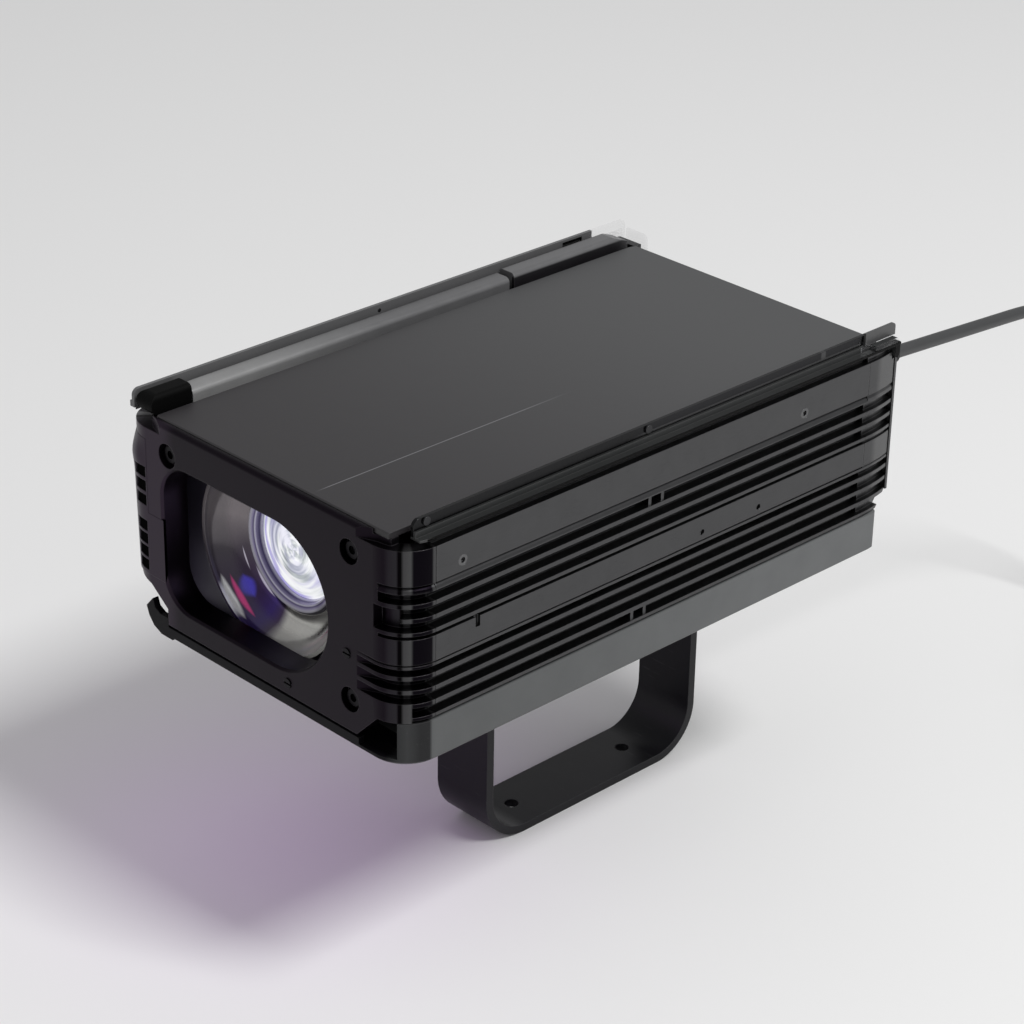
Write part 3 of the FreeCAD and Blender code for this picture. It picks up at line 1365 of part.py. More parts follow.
def laser_at(x, y, turn_deg):
    """A laser head moved to a place and turned about the vertical."""
    module = laser_module()
    module.rotate(V(0, 0, 0), Z_AXIS, turn_deg)
    module.translate(V(x, y, above_pan(LENS_Z)))
    return module


def green_laser():
    """The green laser head on the left of the beam."""
    return laser_at(LENS_X - LASER_AWAY, setback(GREEN_SETBACK), 0)


def blue_laser():
    """The blue laser head behind the green one."""
    return laser_at(LENS_X - LASER_AWAY, setback(BLUE_SETBACK), 0)


def red_laser():
    """The red laser head on the beam itself, firing forwards."""
    return laser_at(LENS_X, setback(RED_SETBACK), -FULL_TURN / 4)


def dichroic_mirrors():
    """The two combining mirrors at half a right angle, each on its post."""
    made = []
    base = above_pan(PLATE_Z) + PLATE_T
    for place in (GREEN_SETBACK, BLUE_SETBACK):
        y, z = setback(place), above_pan(LENS_Z)
        w, t, h = MIRROR_W / 2, MIRROR_T / 2, MIRROR_H / 2
        pane = box(-w, w, -t, t, -h, h)
        pane.rotate(V(0, 0, 0), Z_AXIS, FULL_TURN / 8)
        pane.translate(V(LENS_X, y, z))
        post = rod(MIRROR_POST_R, z - MIRROR_H / 2 - base, LENS_X, y, base, Z_AXIS)
        made.append(fuse_all([pane, post]))
    return Part.makeCompound(made)


def gear(teeth, thickness, phase_deg):
    """A spur gear about Y with straight-flanked teeth, its front face at Y zero."""
    pitch_r = GEAR_MODULE * teeth / 2
    tip_r = pitch_r + GEAR_MODULE * ADDENDUM_SHARE
    root_r = pitch_r - GEAR_MODULE * DEDENDUM_SHARE
    step = FULL_TURN / teeth
    points = []
    for i in range(teeth):
        middle = phase_deg + i * step
        rising = [(root_r, -TOOTH_ROOT_SHARE), (tip_r, -TOOTH_TIP_SHARE)]
        falling = [(tip_r, TOOTH_TIP_SHARE), (root_r, TOOTH_ROOT_SHARE)]
        for radius, share in rising + falling:
            angle = math.radians(middle + share * step / 2)
            points.append(V(radius * math.cos(angle), 0, radius * math.sin(angle)))
    return prism(points, V(0, thickness, 0))


def wheel_x():
    """The effect wheel's axis across the body."""
    return LENS_X + WHEEL_OFFSET


def motor_x():
    """The pinion's axis, one centre distance beyond the wheel's."""
    return wheel_x() + GEAR_MODULE * (WHEEL_TEETH + PINION_TEETH) / 2


def effect_wheel():
    """The toothed effect wheel with its thin patterned disc and hub."""
    rim = gear(WHEEL_TEETH, WHEEL_T, 0)
    inner_r = GEAR_MODULE * (WHEEL_TEETH / 2 - DEDENDUM_SHARE * 2)
    web = WHEEL_T * (1 - WHEEL_WEB_SHARE) / 2
    hollows = []
    for y in (-OVERRUN, WHEEL_T - web):
        ring = rod(inner_r, web + OVERRUN, 0, y, 0, Y_AXIS)
        hollows.append(ring.cut(rod(WHEEL_HUB_R, web + OVERRUN, 0, y, 0, Y_AXIS)))
    hollows.append(rod(AXLE_R + RUN_FIT, WHEEL_T + OVERRUN * 2, 0, -OVERRUN, 0, Y_AXIS))
    wheel = rim.cut(hollows)
    wheel.translate(V(wheel_x(), setback(WHEEL_SETBACK), above_pan(LENS_Z)))
    return wheel


def motor_pinion():
    """The small gear on the motor's shaft, in mesh with the wheel."""
    half_tooth = FULL_TURN / PINION_TEETH / 2
    pinion = gear(PINION_TEETH, PINION_T, FULL_TURN / 2 + half_tooth)
    bore = rod(MOTOR_SHAFT_R + RUN_FIT, PINION_T + OVERRUN * 2, 0, -OVERRUN, 0, Y_AXIS)
    pinion = pinion.cut(bore)
    y = setback(WHEEL_SETBACK) - (PINION_T - WHEEL_T) / 2
    pinion.translate(V(motor_x(), y, above_pan(LENS_Z)))
    return pinion


def wheel_bracket():
    """The upright bracket with the wheel's axle and the motor's seat."""
    y0, y1 = setback(BRACKET_SETBACK), setback(BRACKET_SETBACK + BRACKET_T)
    z = above_pan(LENS_Z)
    base = above_pan(PLATE_Z) + PLATE_T
    x0, x1 = LENS_X + BRACKET_LEFT_GAP, motor_x() + BRACKET_RIGHT_GAP
    plate = box(x0, x1, y0, y1, base, above_pan(BRACKET_TOP_Z))
    head_y = setback(WHEEL_SETBACK) - FACE_FIT
    axle = disc_rod_y(AXLE_R, head_y, y0, wheel_x(), z)
    head = disc_rod_y(AXLE_HEAD_R, head_y - AXLE_HEAD_T, head_y, wheel_x(), z)
    collar = disc_rod_y(WHEEL_HUB_R, setback(WHEEL_SETBACK) + WHEEL_T + FACE_FIT, y0, wheel_x(), z)
    shaft_hole = disc_rod_y(AXLE_R, y0 - OVERRUN, y1 + OVERRUN, motor_x(), z)
    return fuse_all([plate, axle, head, collar]).cut(shaft_hole)


def wheel_motor():
    """The geared motor behind the bracket, its shaft through the pinion."""
    z = above_pan(LENS_Z)
    y1 = setback(BRACKET_SETBACK + BRACKET_T)
    can = disc_rod_y(MOTOR_R, y1, y1 + MOTOR_L, motor_x(), z)
    shaft = disc_rod_y(MOTOR_SHAFT_R, setback(WHEEL_SETBACK) - PINION_T / 2, y1, motor_x(), z)
    return fuse_all([can, shaft])


def shutter_x():
    """The shutter's axis across the body."""
    return LENS_X + SHUTTER_OFFSET


def shutter_flag():
    """The swinging flag that blocks the beam when it is at rest."""
    y, z = setback(SHUTTER_SETBACK), above_pan(LENS_Z)
    half = SHUTTER_ARM_W / 2
    arm = box(LENS_X, shutter_x(), y, y + SHUTTER_T, z - half, z + half)
    paddle = disc_rod_y(SHUTTER_PADDLE_R, y, y + SHUTTER_T, LENS_X, z)
    hub = disc_rod_y(SHUTTER_HUB_R, y, y + SHUTTER_T, shutter_x(), z)
    bore = disc_rod_y(SHUTTER_SHAFT_R + RUN_FIT, y - OVERRUN, y + SHUTTER_T + OVERRUN, shutter_x(), z)
    return fuse_all([arm, paddle, hub]).cut(bore)


def shutter_solenoid():
    """The rotary solenoid that carries the flag on its shaft, on a foot."""
    z = above_pan(LENS_Z)
    y = setback(SHUTTER_SETBACK) + SHUTTER_T + SOLENOID_GAP
    half = SOLENOID_W / 2
    base = above_pan(PLATE_Z) + PLATE_T
    body = box(shutter_x() - half, shutter_x() + half, y, y + SOLENOID_L, base, z + half)
    shaft = disc_rod_y(SHUTTER_SHAFT_R, setback(SHUTTER_SETBACK) - SHUTTER_T, y, shutter_x(), z)
    return fuse_all([body, shaft])


def power_supply():
    """The closed power supply on the pan's floor, with slots along its front."""
    half = SUPPLY_W / 2
    y0, y1 = setback(SUPPLY_START), setback(SUPPLY_START + SUPPLY_L)
    body = box(-half, half, y0, y1, FLOOR_Z, FLOOR_Z + SUPPLY_H)
    pitch = SUPPLY_W / (SUPPLY_VENTS + 1)
    z = FLOOR_Z + (SUPPLY_H - SUPPLY_VENT_H) / 2
    tools = []
    for i in range(SUPPLY_VENTS):
        x = (i + 1) * pitch - half
        half_w = SUPPLY_VENT_W / 2
        tools.append(box(x - half_w, x + half_w, y0 - OVERRUN, y0 + SUPPLY_VENT_W, z, z + SUPPLY_VENT_H))
    return body.cut(tools)


def control_board():
    """The upright control board behind the rear panel, with its chips."""
    y0, y1 = setback(BOARD_START), setback(BOARD_START) + BOARD_T
    board = box(BOARD_LEFT, BOARD_RIGHT, y0, y1, FLOOR_Z, above_pan(FRAME_TOP_Z))
    chips = []
    for i in range(CHIP_COUNT):
        for j in range(CHIP_COUNT):
            x = BOARD_LEFT + CHIP_W + i * CHIP_PITCH
            z = FLOOR_Z + CHIP_W + j * CHIP_PITCH
            chips.append(box(x, x + CHIP_W, y0 - CHIP_H, y0, z, z + CHIP_W))
    return fuse_all([board] + chips)


def panel_screw_heights():
    """The heights of the rear panel's screws."""
    return [above_pan(PANEL_SCREW_LOW_Z), above_pan(PANEL_SCREW_TOP_Z)]


def panel_screw_places():
    """The rear panel's screws as X and Z."""
    return [(side * PANEL_SCREW_X, z) for side in (-1, 1) for z in panel_screw_heights()]


def fan_screw_places():
    """The fan's four screws as X and Z."""
    half = FAN_HOLE_SPACING / 2
    z = above_pan(FAN_Z)
    return [(FAN_X + sx * half, z + sz * half) for sx in (-1, 1) for sz in (-1, 1)]


def button_places():
    """The menu buttons in rows and columns as X and Z."""
    places = []
    for i in range(BUTTON_COUNT):
        row, column = divmod(i, BUTTON_COLUMNS)
        places.append((BUTTON_X + column * BUTTON_PITCH, above_pan(BUTTON_Z) - row * BUTTON_PITCH))
    return places


def socket_places():
    """The two signal sockets as X and Z."""
    return [(SOCKET_X + i * SOCKET_PITCH, above_pan(SOCKET_Z)) for i in range(2)]


def rear_blank():
    """The rear casting's block with gently curved cheeks and a bevelled lower rear edge."""
    z0, z1 = above_pan(PAN_WALL_H) + FACE_FIT, WALL_TOP
    y0, y1 = REAR_SEAM_Y + SEAM_GAP, REAR_Y
    far_x = HALF_W + OVERRUN
    round_side = rod(REAR_CURVE_R, z1 - z0, HALF_W - REAR_CURVE_R, REAR_SEAM_Y, z0, Z_AXIS)
    outside = box(HALF_W - CORNER_R, far_x, REAR_SEAM_Y, y1 + OVERRUN, z0, z1).cut(round_side)
    blank = box(-HALF_W, HALF_W, y0, y1, z0, z1).cut([outside, mirrored(outside)])
    upright = [e for e in blank.Edges if e.BoundBox.YMin > y1 - SNUG_FIT and e.BoundBox.ZLength > PANEL_T]
    blank = blank.makeChamfer(REAR_EDGE, upright)
    bevel = prism([
        V(-BODY_W, y1 + OVERRUN, z0 - OVERRUN),
        V(-BODY_W, y1 - REAR_BEVEL, z0 - OVERRUN),
        V(-BODY_W, y1 - REAR_BEVEL, z0),
        V(-BODY_W, y1, z0 + REAR_BEVEL),
        V(-BODY_W, y1 + OVERRUN, z0 + REAR_BEVEL),
    ], V(BODY_W * 2, 0, 0))
    hollow = box(-INNER_X, INNER_X, y0 - OVERRUN, PANEL_Y, z0 - OVERRUN, z1 + OVERRUN)
    floor_slope = box(-INNER_X, INNER_X, PANEL_Y - OVERRUN, y1, z0 - OVERRUN, z0)
    return blank.cut([bevel, hollow, floor_slope])


def rear_round_holes():
    """Cutters for the round holes of the rear casting."""
    a, b = PANEL_Y - OVERRUN, REAR_Y + OVERRUN
    tools = [disc_rod_y(FAN_BORE_R, a, b, FAN_X, above_pan(FAN_Z))]
    tools += [disc_rod_y(FINE_R + SNUG_FIT, a, b, x, z) for x, z in fan_screw_places()]
    tools += [disc_rod_y(BUTTON_R + RUN_FIT, a, b, x, z) for x, z in button_places()]
    tools += [disc_rod_y(SOCKET_R + SNUG_FIT, a, b, x, z) for x, z in socket_places()]
    tools.append(disc_rod_y(KEY_BODY_R + SNUG_FIT, a, b, KEY_X, above_pan(KEY_Z)))
    tools.append(disc_rod_y(GLAND_TIP_R + SNUG_FIT, a, b, CORD_X, CORD_Z))
    start = REAR_SEAM_Y - OVERRUN
    tools += [disc_rod_y(FINE_R + SNUG_FIT, start, b, x, z) for x, z in panel_screw_places()]
    return tools


def rear_square_holes():
    """Cutters for the switch, the display's recess and the lid's rear edge."""
    a, b = PANEL_Y - OVERRUN, REAR_Y + OVERRUN
    sw, sh, sz = SWITCH_W / 2 + SNUG_FIT, SWITCH_H / 2 + SNUG_FIT, above_pan(SWITCH_Z)
    switch = box(SWITCH_X - sw, SWITCH_X + sw, a, b, sz - sh, sz + sh)
    dw, dh, dz = DISPLAY_W / 2 + SNUG_FIT, DISPLAY_H / 2 + SNUG_FIT, above_pan(DISPLAY_Z)
    sunk = REAR_Y - DISPLAY_T - DISPLAY_SINK
    display = box(DISPLAY_X - dw, DISPLAY_X + dw, sunk, b, dz - dh, dz + dh)
    lid_z = LID_TOP - LID_T - LID_REAR_FALL - FACE_FIT
    lid = box(HINGE_EDGE_X, GUARD_X, a, b, lid_z, WALL_TOP + OVERRUN)
    return [switch, display, lid]


def rear_panel():
    """The rear casting with its grooved cheeks and the holes for all that it carries."""
    sections = upper_grooves() + lower_grooves() + [shadow_gap()]
    cheek = [rear_groove(section) for section in sections]
    tools = cheek + [mirrored(tool) for tool in cheek] + [hook_room()]
    return cut_all(rear_blank(), tools + rear_round_holes() + rear_square_holes())


def panel_screws():
    """The fine screws: long ones through the rear casting, short ones for the fan."""
    long_screw = screw(FINE_R, FINE_HEAD_R, FINE_HEAD_H, PANEL_SCREW_L)
    short_screw = screw(FINE_R, FINE_HEAD_R, FINE_HEAD_H, FAN_SCREW_L)
    grille_face = REAR_Y + GRILLE_WIRE_R * 2
    made = [placed(long_screw, Y_AXIS, V(x, REAR_Y, z)) for x, z in panel_screw_places()]
    made += [placed(short_screw, Y_AXIS, V(x, grille_face, z)) for x, z in fan_screw_places()]
    return Part.makeCompound(made)


def fan_frame():
    """The fan's square frame with its struts, hub and shaft."""
    y1 = PANEL_Y
    y0 = y1 - FAN_T
    z = above_pan(FAN_Z)
    half = FAN_W / 2
    frame = box(FAN_X - half, FAN_X + half, y0, y1, z - half, z + half)
    corners = [e for e in frame.Edges if e.BoundBox.YLength > SNUG_FIT]
    frame = frame.makeFillet(FAN_CORNER_R, corners)
    tools = [disc_rod_y(FAN_BORE_R, y0 - OVERRUN, y1 + OVERRUN, FAN_X, z)]
    for x, sz in fan_screw_places():
        tools.append(disc_rod_y(FINE_R + SNUG_FIT, y0 - OVERRUN, y1 + OVERRUN, x, sz))
    frame = frame.cut(tools)
    pieces = [frame, disc_rod_y(FAN_HUB_R, y0, y0 + FAN_STRUT_T, FAN_X, z)]
    for i in range(FAN_STRUTS):
        reach, half_w = FAN_BORE_R + FAN_CORNER_R / 2, FAN_STRUT_W / 2
        strut = box(0, reach, y0, y0 + FAN_STRUT_T, -half_w, half_w)
        strut.rotate(V(0, 0, 0), Y_AXIS, i * FULL_TURN / FAN_STRUTS)
        strut.translate(V(FAN_X, 0, z))
        pieces.append(strut)
    pieces.append(disc_rod_y(FAN_SHAFT_R, y0, y1 - FAN_STRUT_T, FAN_X, z))
    return fuse_all(pieces)


def fan_rotor():
    """The fan's hub and pitched blades on the frame's shaft."""
    y0 = PANEL_Y - FAN_T + FAN_STRUT_T + FAN_GAP
    y1 = PANEL_Y - FAN_GAP
    hub = rod(FAN_HUB_R, y1 - y0, 0, 0, 0, Y_AXIS)
    depth = (y1 - y0) / 2
    rim = rod(FAN_ROTOR_R, y1 - y0, 0, 0, 0, Y_AXIS)
    blades = []
    for i in range(FAN_BLADES):
        blade = box(FAN_HUB_R / 2, FAN_ROTOR_R + OVERRUN, -depth, depth, -FAN_BLADE_T / 2, FAN_BLADE_T / 2)
        blade.rotate(V(0, 0, 0), X_AXIS, FAN_BLADE_DEG)
        blade.translate(V(0, depth, 0))
        blade.rotate(V(0, 0, 0), Y_AXIS, i * FULL_TURN / FAN_BLADES)
        blades.append(blade.common(rim))
    bore = rod(FAN_SHAFT_R + RUN_FIT, FAN_T, 0, -FAN_GAP, 0, Y_AXIS)
    rotor = fuse_all([hub] + blades).cut(bore)
    rotor.translate(V(FAN_X, y0, above_pan(FAN_Z)))
    return rotor


def fan_grille():
    """The wire finger guard over the fan, with its four screw eyes."""
    y = REAR_Y + GRILLE_WIRE_R
    z = above_pan(FAN_Z)
    flat = GRILLE_WIRE_R
    pieces = []
    for i in range(GRILLE_RINGS):
        r = FAN_BORE_R * (i + 1) / GRILLE_RINGS
        ring = disc_rod_y(r + flat, y - flat, y + flat, FAN_X, z)
        pieces.append(ring.cut(disc_rod_y(r - flat, y - flat, y + flat, FAN_X, z)))
    reach = FAN_HOLE_SPACING / 2
    inner = FAN_BORE_R / GRILLE_RINGS
    for i in range(GRILLE_SPOKES):
        spoke = box(inner, math.hypot(reach, reach), -flat, flat, -flat, flat)
        spoke.rotate(V(0, 0, 0), Y_AXIS, FULL_TURN / 8 + i * FULL_TURN / GRILLE_SPOKES)
        spoke.translate(V(FAN_X, y, z))
        pieces.append(spoke)
    for x, sz in fan_screw_places():
        pieces.append(disc_rod_y(FINE_HEAD_R, y - flat, y + flat, x, sz))
    low, high = y - flat - OVERRUN, y + flat + OVERRUN
    holes = [disc_rod_y(FINE_R + SNUG_FIT, low, high, x, sz) for x, sz in fan_screw_places()]
    return fuse_all(pieces).cut(holes)


def power_switch():
    """The rocker switch's housing in the rear panel."""
    z = above_pan(SWITCH_Z)
    w, h = SWITCH_W / 2, SWITCH_H / 2
    body = box(SWITCH_X - w, SWITCH_X + w, REAR_Y - SWITCH_DEPTH, REAR_Y, z - h, z + h)
    rim_w, rim_h = w + SWITCH_RIM, h + SWITCH_RIM
    rim = box(SWITCH_X - rim_w, SWITCH_X + rim_w, REAR_Y, REAR_Y + SWITCH_PROUD, z - rim_h, z + rim_h)
    iw, ih = w - SWITCH_RIM, h - SWITCH_RIM
    low, high = REAR_Y - SWITCH_DEPTH + SWITCH_RIM, REAR_Y + SWITCH_PROUD + OVERRUN
    well = box(SWITCH_X - iw, SWITCH_X + iw, low, high, z - ih, z + ih)
    pin_y = REAR_Y + SWITCH_PROUD - ROCKER_PIVOT_DEPTH
    pin = rod(ROCKER_PIN_R, iw * 2, SWITCH_X - iw, pin_y, z, X_AXIS)
    return fuse_all([fuse_all([body, rim]).cut(well), pin])


def power_rocker():
    """The rocker itself, tipped to its off side at rest."""
    z = above_pan(SWITCH_Z)
    pin_y = REAR_Y + SWITCH_PROUD - ROCKER_PIVOT_DEPTH
    iw = SWITCH_W / 2 - SWITCH_RIM - ROCKER_FIT
    ih = SWITCH_H / 2 - SWITCH_RIM - ROCKER_END_FIT
    face_y = REAR_Y + SWITCH_PROUD + ROCKER_PROUD
    dip = ROCKER_PROUD / 2
    points = [
        V(SWITCH_X - iw, pin_y - ROCKER_PIN_R * 2, z - ih / 2),
        V(SWITCH_X - iw, face_y - dip * 2, z - ih),
        V(SWITCH_X - iw, face_y, z - ih),
        V(SWITCH_X - iw, face_y - dip, z),
        V(SWITCH_X - iw, face_y, z + ih),
        V(SWITCH_X - iw, face_y - dip * 2, z + ih),
        V(SWITCH_X - iw, pin_y - ROCKER_PIN_R * 2, z + ih / 2),
    ]
    rocker = prism(points, V(iw * 2, 0, 0))
    rocker = rocker.cut(rod(ROCKER_PIN_R + RUN_FIT, SWITCH_W, SWITCH_X - SWITCH_W / 2, pin_y, z, X_AXIS))
    rocker.rotate(V(SWITCH_X, pin_y, z), X_AXIS, -ROCKER_DEG)
    return rocker


def key_switch():
    """The key lock's fixed body with its nut on the rear panel."""
    z = above_pan(KEY_Z)
    body = disc_rod_y(KEY_BODY_R, REAR_Y - KEY_BODY_L, REAR_Y, KEY_X, z)
    nut = disc_rod_y(KEY_NUT_R, REAR_Y, REAR_Y + KEY_NUT_L, KEY_X, z)
    face = REAR_Y + KEY_NUT_L
    bore = disc_rod_y(KEY_BARREL_R + RUN_FIT, face - KEY_BARREL_DEPTH, face + OVERRUN, KEY_X, z)
    return fuse_all([body, nut]).cut(bore)


def key_barrel():
    """The turning barrel with its key."""
    z = above_pan(KEY_Z)
    face = REAR_Y + KEY_NUT_L
    barrel = disc_rod_y(KEY_BARREL_R, face - KEY_BARREL_DEPTH + FACE_FIT, face, KEY_X, z)
    t = KEY_BOW_T / 2
    shank = box(KEY_X - t, KEY_X + t, face, face + KEY_SHANK_L, z - KEY_SHANK_W / 2, z + KEY_SHANK_W / 2)
    bow_y = face + KEY_SHANK_L
    bow = box(KEY_X - t, KEY_X + t, bow_y, bow_y + KEY_BOW_W, z - KEY_BOW_H / 2, z + KEY_BOW_H / 2)
    rounded = [e for e in bow.Edges if e.BoundBox.XLength > SNUG_FIT]
    bow = bow.makeFillet(KEY_SHANK_W / 2, rounded)
    eye_y = bow_y + KEY_BOW_W * KEY_EYE_SHARE
    eye = rod(KEY_HOLE_R, KEY_BOW_T + OVERRUN * 2, KEY_X - t - OVERRUN, eye_y, z, X_AXIS)
    return fuse_all([barrel, shank, bow]).cut(eye)


def menu_button(x, z):
    """A menu button with the flange that keeps it behind the panel and its stem."""
    cap = disc_rod_y(BUTTON_R, PANEL_Y - BUTTON_FLANGE_T, REAR_Y + BUTTON_PROUD, x, z)
    flange_y = PANEL_Y - FACE_FIT - BUTTON_FLANGE_T
    flange = disc_rod_y(BUTTON_FLANGE_R, flange_y, PANEL_Y - FACE_FIT, x, z)
    stem_y = setback(BOARD_START) + BOARD_T + BUTTON_TRAVEL + FACE_FIT
    stem = disc_rod_y(BUTTON_STEM_R, stem_y, flange_y, x, z)
    return fuse_all([cap, flange, stem])


def display_window():
    """The small display's clear pane, set a little below the panel's face."""
    w, h, z = DISPLAY_W / 2, DISPLAY_H / 2, above_pan(DISPLAY_Z)
    y = REAR_Y - DISPLAY_SINK
    return box(DISPLAY_X - w, DISPLAY_X + w, y - DISPLAY_T, y, z - h, z + h)


def signal_sockets():
    """The two round signal sockets with square flanges."""
    made = []
    half = SOCKET_FLANGE / 2
    for x, z in socket_places():
        shell = disc_rod_y(SOCKET_R, REAR_Y - SOCKET_DEPTH, REAR_Y, x, z)
        flange = box(x - half, x + half, REAR_Y, REAR_Y + SOCKET_FLANGE_T, z - half, z + half)
        corners = [e for e in flange.Edges if e.BoundBox.YLength > SNUG_FIT]
        flange = flange.makeFillet(SOCKET_FLANGE_T, corners)
        low, high = REAR_Y - SOCKET_DEPTH + SOCKET_FLOOR, REAR_Y + SOCKET_FLANGE_T + OVERRUN
        bore = disc_rod_y(SOCKET_BORE_R, low, high, x, z)
        made.append(fuse_all([shell, flange]).cut(bore))
    return Part.makeCompound(made)


def lug_face_y():
    """The outer face of a hanger lug, behind the washer and the yoke's leg."""
    return YOKE_L / 2 - YOKE_T - FACE_FIT - WASHER_T


def yoke_line(offset):
    """The bent bar's side view at an offset from its outer face, as edges."""
    y, r = YOKE_L / 2 - offset, YOKE_BEND_R - offset
    bend = YOKE_BEND_R
    nick = r * math.sin(math.radians(FULL_TURN / 8))
    cy = YOKE_L / 2 - bend
    left = Part.Arc(V(0, -y, bend), V(0, -cy - nick, bend - nick), V(0, -cy, offset))
    right = Part.Arc(V(0, cy, offset), V(0, cy + nick, bend - nick), V(0, y, bend))
    return y, left, right, cy


def yoke():
    """The bent flat bar with round leg ends, pivot holes and foot holes."""
    top = PIVOT_Z
    y0, left0, right0, cy = yoke_line(0)
    y1, left1, right1, cy = yoke_line(YOKE_T)
    bend = YOKE_BEND_R
    edges = [
        Part.LineSegment(V(0, -y0, top), V(0, -y0, bend)),
        left0,
        Part.LineSegment(V(0, -cy, 0), V(0, cy, 0)),
        right0,
        Part.LineSegment(V(0, y0, bend), V(0, y0, top)),
        Part.LineSegment(V(0, y0, top), V(0, y1, top)),
        Part.LineSegment(V(0, y1, top), V(0, y1, bend)),
        right1,
        Part.LineSegment(V(0, cy, YOKE_T), V(0, -cy, YOKE_T)),
        left1,
        Part.LineSegment(V(0, -y1, bend), V(0, -y1, top)),
        Part.LineSegment(V(0, -y1, top), V(0, -y0, top)),
    ]
    half = YOKE_W / 2
    wire = Part.Wire([edge.toShape() for edge in edges])
    bar = Part.Face(wire).extrude(V(YOKE_W, 0, 0))
    bar.translate(V(-half, 0, 0))
    ends = []
    for start, stop in ((-y0, -y1), (y1, y0)):
        ends.append(disc_rod_y(half, start, stop, 0, top))
    bar = fuse_all([bar] + ends)
    tools = [disc_rod_y(PIVOT_R + RUN_FIT, -y0 - OVERRUN, y0 + OVERRUN, 0, top)]
    for side in (-1, 1):
        y = side * FOOT_HOLE_SPACING / 2
        tools.append(rod(FOOT_HOLE_R, YOKE_T + OVERRUN * 2, 0, y, -OVERRUN, Z_AXIS))
    return cut_all(bar, tools)


def yoke_hanger():
    """The folded bracket under the pan whose two lugs carry the yoke."""
    outer = lug_face_y()
    half = HANGER_W / 2
    base = box(-half, half, -outer, outer, PAN_Z - HANGER_T, PAN_Z)
    pieces = [base]
    for start in (-outer, outer - LUG_T):
        cheek = box(-LUG_W / 2, LUG_W / 2, start, start + LUG_T, PIVOT_Z, PAN_Z)
        pieces += [cheek, disc_rod_y(LUG_W / 2, start, start + LUG_T, 0, PIVOT_Z)]
    tools = [disc_rod_y(PIVOT_R + SNUG_FIT, -outer - OVERRUN, outer + OVERRUN, 0, PIVOT_Z)]
    for x, y in hanger_screw_places():
        tools.append(rod(M4_R + SNUG_FIT, HANGER_T + OVERRUN * 2, x, y, PAN_Z - HANGER_T - OVERRUN, Z_AXIS))
    return cut_all(fuse_all(pieces), tools)


def friction_washers():
    """The washers between the hanger's lugs and the yoke's legs."""
    y = lug_face_y()
    hole = disc_rod_y(PIVOT_R + SNUG_FIT, y, y + WASHER_T, 0, PIVOT_Z)
    ring = disc_rod_y(WASHER_R, y, y + WASHER_T, 0, PIVOT_Z).cut(hole)
    return Part.makeCompound([ring, ring.mirror(V(0, 0, 0), Y_AXIS)])


def pivot_bolts():
    """The two pivot bolts, heads inside the hanger, ends in the knobs."""
    y = lug_face_y() - LUG_T
    shank = disc_rod_y(PIVOT_R, y, YOKE_L / 2 + FACE_FIT + KNOB_BORE_L - FACE_FIT, 0, PIVOT_Z)
    head = disc_rod_y(BOLT_HEAD_R, y - BOLT_HEAD_H, y, 0, PIVOT_Z)
    bolt = fuse_all([shank, head])
    return Part.makeCompound([bolt, bolt.mirror(V(0, 0, 0), Y_AXIS)])


def lock_knob():
    """A lobed clamping knob on the rear pivot bolt's end."""
    y = YOKE_L / 2 + FACE_FIT
    knob = disc_rod_y(KNOB_R, y, y + KNOB_L, 0, PIVOT_Z)
    edges = [e for e in knob.Edges if e.BoundBox.YMin > y + SNUG_FIT and e.BoundBox.YLength < SNUG_FIT]
    knob = knob.makeFillet(KNOB_EDGE_R, edges)
    tools = [disc_rod_y(PIVOT_R + RUN_FIT, y - OVERRUN, y + KNOB_BORE_L, 0, PIVOT_Z)]
    reach = KNOB_R * KNOB_SCALLOP_SHARE
    for i in range(KNOB_LOBES):
        angle = math.radians(i * FULL_TURN / KNOB_LOBES)
        x, z = reach * math.cos(angle), PIVOT_Z + reach * math.sin(angle)
        tools.append(disc_rod_y(KNOB_SCALLOP_R, y - OVERRUN, y + KNOB_L + OVERRUN, x, z))
    return cut_all(knob, tools)


def lock_knob_rear():
    """The rear lock knob."""
    return lock_knob()


def lock_knob_front():
    """The front lock knob."""
    return lock_knob().mirror(V(0, 0, 0), Y_AXIS)


def cable_gland():
    """The gland's nut inside, its collar and its tapered strain relief."""
    y = REAR_Y
    nut = disc_rod_y(GLAND_NUT_R, PANEL_Y - GLAND_BASE_L, PANEL_Y, CORD_X, CORD_Z)
    neck = disc_rod_y(GLAND_TIP_R, PANEL_Y, y, CORD_X, CORD_Z)
    collar = disc_rod_y(GLAND_BASE_R, y, y + GLAND_BASE_L, CORD_X, CORD_Z)
    foot = V(CORD_X, y + GLAND_BASE_L, CORD_Z)
    taper = Part.makeCone(GLAND_TAPER_R, GLAND_TIP_R, GLAND_L - GLAND_BASE_L, foot, Y_AXIS)
    return fuse_all([nut, neck, collar, taper])


def cord_route():
    """The route's points: out of the gland, straight back, then down to the floor."""
    start = V(CORD_X, CORD_Y, CORD_Z)
    end = coil_point(0) - coil_heading(0) * CORD_D
    landing = V(CORD_X + CORD_LANDING, end.y, CORD_R)
    points = [start]
    for (aside, behind), share in zip(CORD_RUNS, CORD_FALL_SHARES):
        points.append(V(CORD_X + aside, CORD_Y + behind, CORD_Z * share))
    return points + [landing, end]


